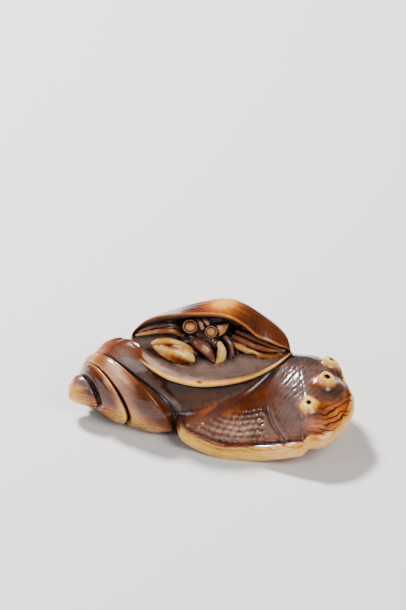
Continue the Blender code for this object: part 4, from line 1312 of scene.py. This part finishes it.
def ivoryMaterial():
    finish = bpy.data.materials.new("stainAndPaintedLightedIvory")
    finish.use_nodes = True
    tree = finish.node_tree
    shader = tree.nodes["Principled BSDF"]

    def add(kind, **values):
        made = tree.nodes.new("ShaderNode" + kind)
        for name, value in values.items():
            setattr(made, name, value)
        return made

    def feed(socket, source):
        if isinstance(source, (int, float)):
            socket.default_value = source
        else:
            tree.links.new(source, socket)

    def maths(operation, first, second=0.0, third=None, clamp=False):
        made = add("Math", operation=operation, use_clamp=clamp)
        feed(made.inputs[0], first)
        feed(made.inputs[1], second)
        if third is not None:
            feed(made.inputs[2], third)
        return made.outputs[0]

    def plus(base, value, share, clamp=False):
        return maths("MULTIPLY_ADD", value, share, base, clamp)

    def mark(name):
        return add("Attribute", attribute_name=name).outputs["Fac"]

    place = add("TexCoord").outputs["Object"]

    def mottle(scale, detail=3.0, roughness=0.55):
        made = add("TexNoise")
        tree.links.new(place, made.inputs["Vector"])
        made.inputs["Scale"].default_value = scale
        made.inputs["Detail"].default_value = detail
        made.inputs["Roughness"].default_value = roughness
        return made.outputs["Fac"]

    def ramp(factor, stops):
        made = add("ValToRGB")
        made.color_ramp.interpolation = "LINEAR"
        while len(made.color_ramp.elements) < len(stops):
            made.color_ramp.elements.new(0.5)
        for element, (where, colour) in zip(made.color_ramp.elements, stops):
            element.position = where
            element.color = (*colour, 1.0)
        tree.links.new(factor, made.inputs["Fac"])
        return made.outputs["Color"]

    # grain lines: level sheets through the ivory, bent by soft noise
    height = add("SeparateXYZ")
    tree.links.new(place, height.inputs[0])
    bent = plus(height.outputs["Z"], mottle(170.0, 2.0), 0.0028)
    wave = maths("SINE", maths("MULTIPLY", bent, 2 * math.pi / (ivoryFinish["lineStep"] * drawing["mm"])))
    thin = plus(-0.55, wave, 1.7, clamp=True)
    broken = plus(-0.5, mottle(330.0, 2.0), 2.4, clamp=True)
    line = maths("MULTIPLY", maths("MULTIPLY", thin, broken), mark("lines"))

    def mottled(name):
        *lumps, amount = ivoryFinish["mottles"][name]
        return plus(-amount / 2, mottle(*lumps), amount)

    # darkness from its attribute of stain with painted shadows and highlights, plus mottling
    dark = maths("ADD", mark("stainAndPaintedLight"), maths("ADD", mottled("broad"), mottled("fine")))
    dark = plus(dark, line, ivoryFinish["lineTone"])
    for name, amount in ivoryFinish["darkens"].items():
        dark = plus(dark, mark(name), amount)
    dark = maths("ADD", dark, 0.0, clamp=True)
    cool = maths("ADD", mark("mauve"), mottled("cool"), clamp=True)

    colour = add("Mix", data_type="RGBA")
    tree.links.new(cool, colour.inputs["Factor"])
    tree.links.new(ramp(dark, ivoryFinish["warm"]), colour.inputs["A"])
    tree.links.new(ramp(dark, ivoryFinish["cool"]), colour.inputs["B"])
    tree.links.new(colour.outputs["Result"], shader.inputs["Base Color"])

    rough = ivoryFinish["roughness"]
    roughness = plus(rough["least"], mark("recess"), rough["recess"])
    roughness = plus(roughness, mark("matte"), rough["matte"])
    roughness = plus(roughness, mottle(900.0, 4.0), rough["uneven"])
    tree.links.new(roughness, shader.inputs["Roughness"])
    gloss, matteGloss = ivoryFinish["gloss"]
    gloss = plus(gloss, mark("matte"), matteGloss)
    tree.links.new(gloss, shader.inputs["Specular IOR Level"])
    grainBump = add("Bump")
    strandWay = add("Mapping")
    for node, values in ((shader, "surface"), (grainBump, "grain"), (strandWay, "hair")):
        for name, value in ivoryFinish[values].items():
            node.inputs[name].default_value = value

    # fine hair lines, on top of the overall grain
    tree.links.new(place, strandWay.inputs["Vector"])
    strands = add("TexNoise")
    tree.links.new(strandWay.outputs["Vector"], strands.inputs["Vector"])
    strands.inputs["Scale"].default_value = 320.0
    hairs = maths("MULTIPLY", strands.outputs["Fac"], mark("hair"))
    hairs = maths("MULTIPLY", hairs, ivoryFinish["hairStrength"])
    grainHeight = maths("ADD", mottle(1900.0, 3.0), maths("MULTIPLY", mottle(600.0, 2.0), 1.5))
    tree.links.new(maths("ADD", grainHeight, hairs), grainBump.inputs["Height"])
    tree.links.new(grainBump.outputs["Normal"], shader.inputs["Normal"])
    return finish


sharpFrom = 50   # degrees between two faces that make a crisp edge


def sharpenCorners(mesh, degrees):
    form = bmesh.new()
    form.from_mesh(mesh)
    limit = math.radians(degrees)
    for edge in form.edges:
        edge.smooth = not (len(edge.link_faces) == 2 and edge.calc_face_angle(0.0) > limit)
    for face in form.faces:
        face.smooth = True
    form.to_mesh(mesh)
    form.free()


def carving():
    mesh, sources = carve()
    print("carved", len(mesh.vertices), "points")
    names, marks = nearestMarks([vert.co for vert in mesh.vertices], sources)
    softenJoins(mesh, names, marks)
    print("joins softened")
    masks = stainAndPaintedLightMasks(mesh, names, marks)
    print("stainAndPaintedLighted")
    for name, values in masks.items():
        attribute = mesh.attributes.new(name, "FLOAT", "POINT")
        attribute.data.foreach_set("value", values.astype(np.float32))
    sharpenCorners(mesh, sharpFrom)
    mesh.transform(Matrix.Scale(drawing["mm"], 4) @ Matrix.Translation(-drawing["footprintMiddle"]))
    mesh.materials.clear()
    mesh.materials.append(ivoryMaterial())
    piece = addPiece("netsukeCarving", mesh, bpy.context.scene.collection)
    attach(piece, "root")
    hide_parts("shells_with_crab")
    triangles = sum(len(face.vertices) - 2 for face in mesh.polygons)
    print("carving", triangles, "triangles")
    return piece


# Setting: a plain pale floor, soft light from the back left and above, and the photo's view

studio = {
    "floorHalf": 0.9,
    "floorColour": (0.70, 0.69, 0.68),
    "floorRoughness": 0.6,
    "lights": [   # place in metres, size, watts
        ((-0.20, 0.31, 0.43), 0.10, 9.6),
        ((0.30, -0.34, 0.42), 0.30, 3.6),
        ((-0.45, -0.20, 0.25), 0.25, 0.9),
    ],
    "lightAim": Vector((0, 0, 0.01)),
    "sky": (0.80, 0.83, 0.88),
    "skyStrength": 0.2,
    "lookAt": Vector((-0.0016, 0.0079, 0.0226)),
    "distance": 1.6,
    "above": 32.0,
    "lens": 486.4,
}


def setting():
    half = studio["floorHalf"]
    mesh = bpy.data.meshes.new("floor")
    corners = [(-half, -half, 0), (half, -half, 0), (half, half, 0), (-half, half, 0)]
    mesh.from_pydata(corners, [], [(0, 1, 2, 3)])
    paint = bpy.data.materials.new("palePaper")
    paint.use_nodes = True
    shader = paint.node_tree.nodes["Principled BSDF"]
    shader.inputs["Base Color"].default_value = (*studio["floorColour"], 1.0)
    shader.inputs["Roughness"].default_value = studio["floorRoughness"]
    mesh.materials.append(paint)
    addPiece("floor", mesh, bpy.context.scene.collection)
    for k, (spot, size, watts) in enumerate(studio["lights"]):
        lamp = bpy.data.lights.new(f"softLight{k}", "AREA")
        lamp.size = size
        lamp.energy = watts
        holder = addPiece(f"softLight{k}", lamp, bpy.context.scene.collection)
        holder.location = spot
        holder.rotation_euler = (studio["lightAim"] - Vector(spot)).to_track_quat("-Z", "Y").to_euler()
    sky = bpy.data.worlds.new("studioSky")
    sky.use_nodes = True
    background = sky.node_tree.nodes["Background"]
    background.inputs["Color"].default_value = (*studio["sky"], 1.0)
    background.inputs["Strength"].default_value = studio["skyStrength"]
    bpy.context.scene.world = sky
    camera = bpy.data.cameras.new("camera")
    camera.lens = studio["lens"]
    camera.sensor_width = 36.0
    holder = addPiece("camera", camera, bpy.context.scene.collection)
    above = math.radians(studio["above"])
    holder.location = studio["lookAt"] + Vector((0, -math.cos(above), math.sin(above))) * studio["distance"]
    holder.rotation_euler = (math.pi / 2 - above, 0, 0)
    bpy.context.scene.camera = holder


setting()
carving()
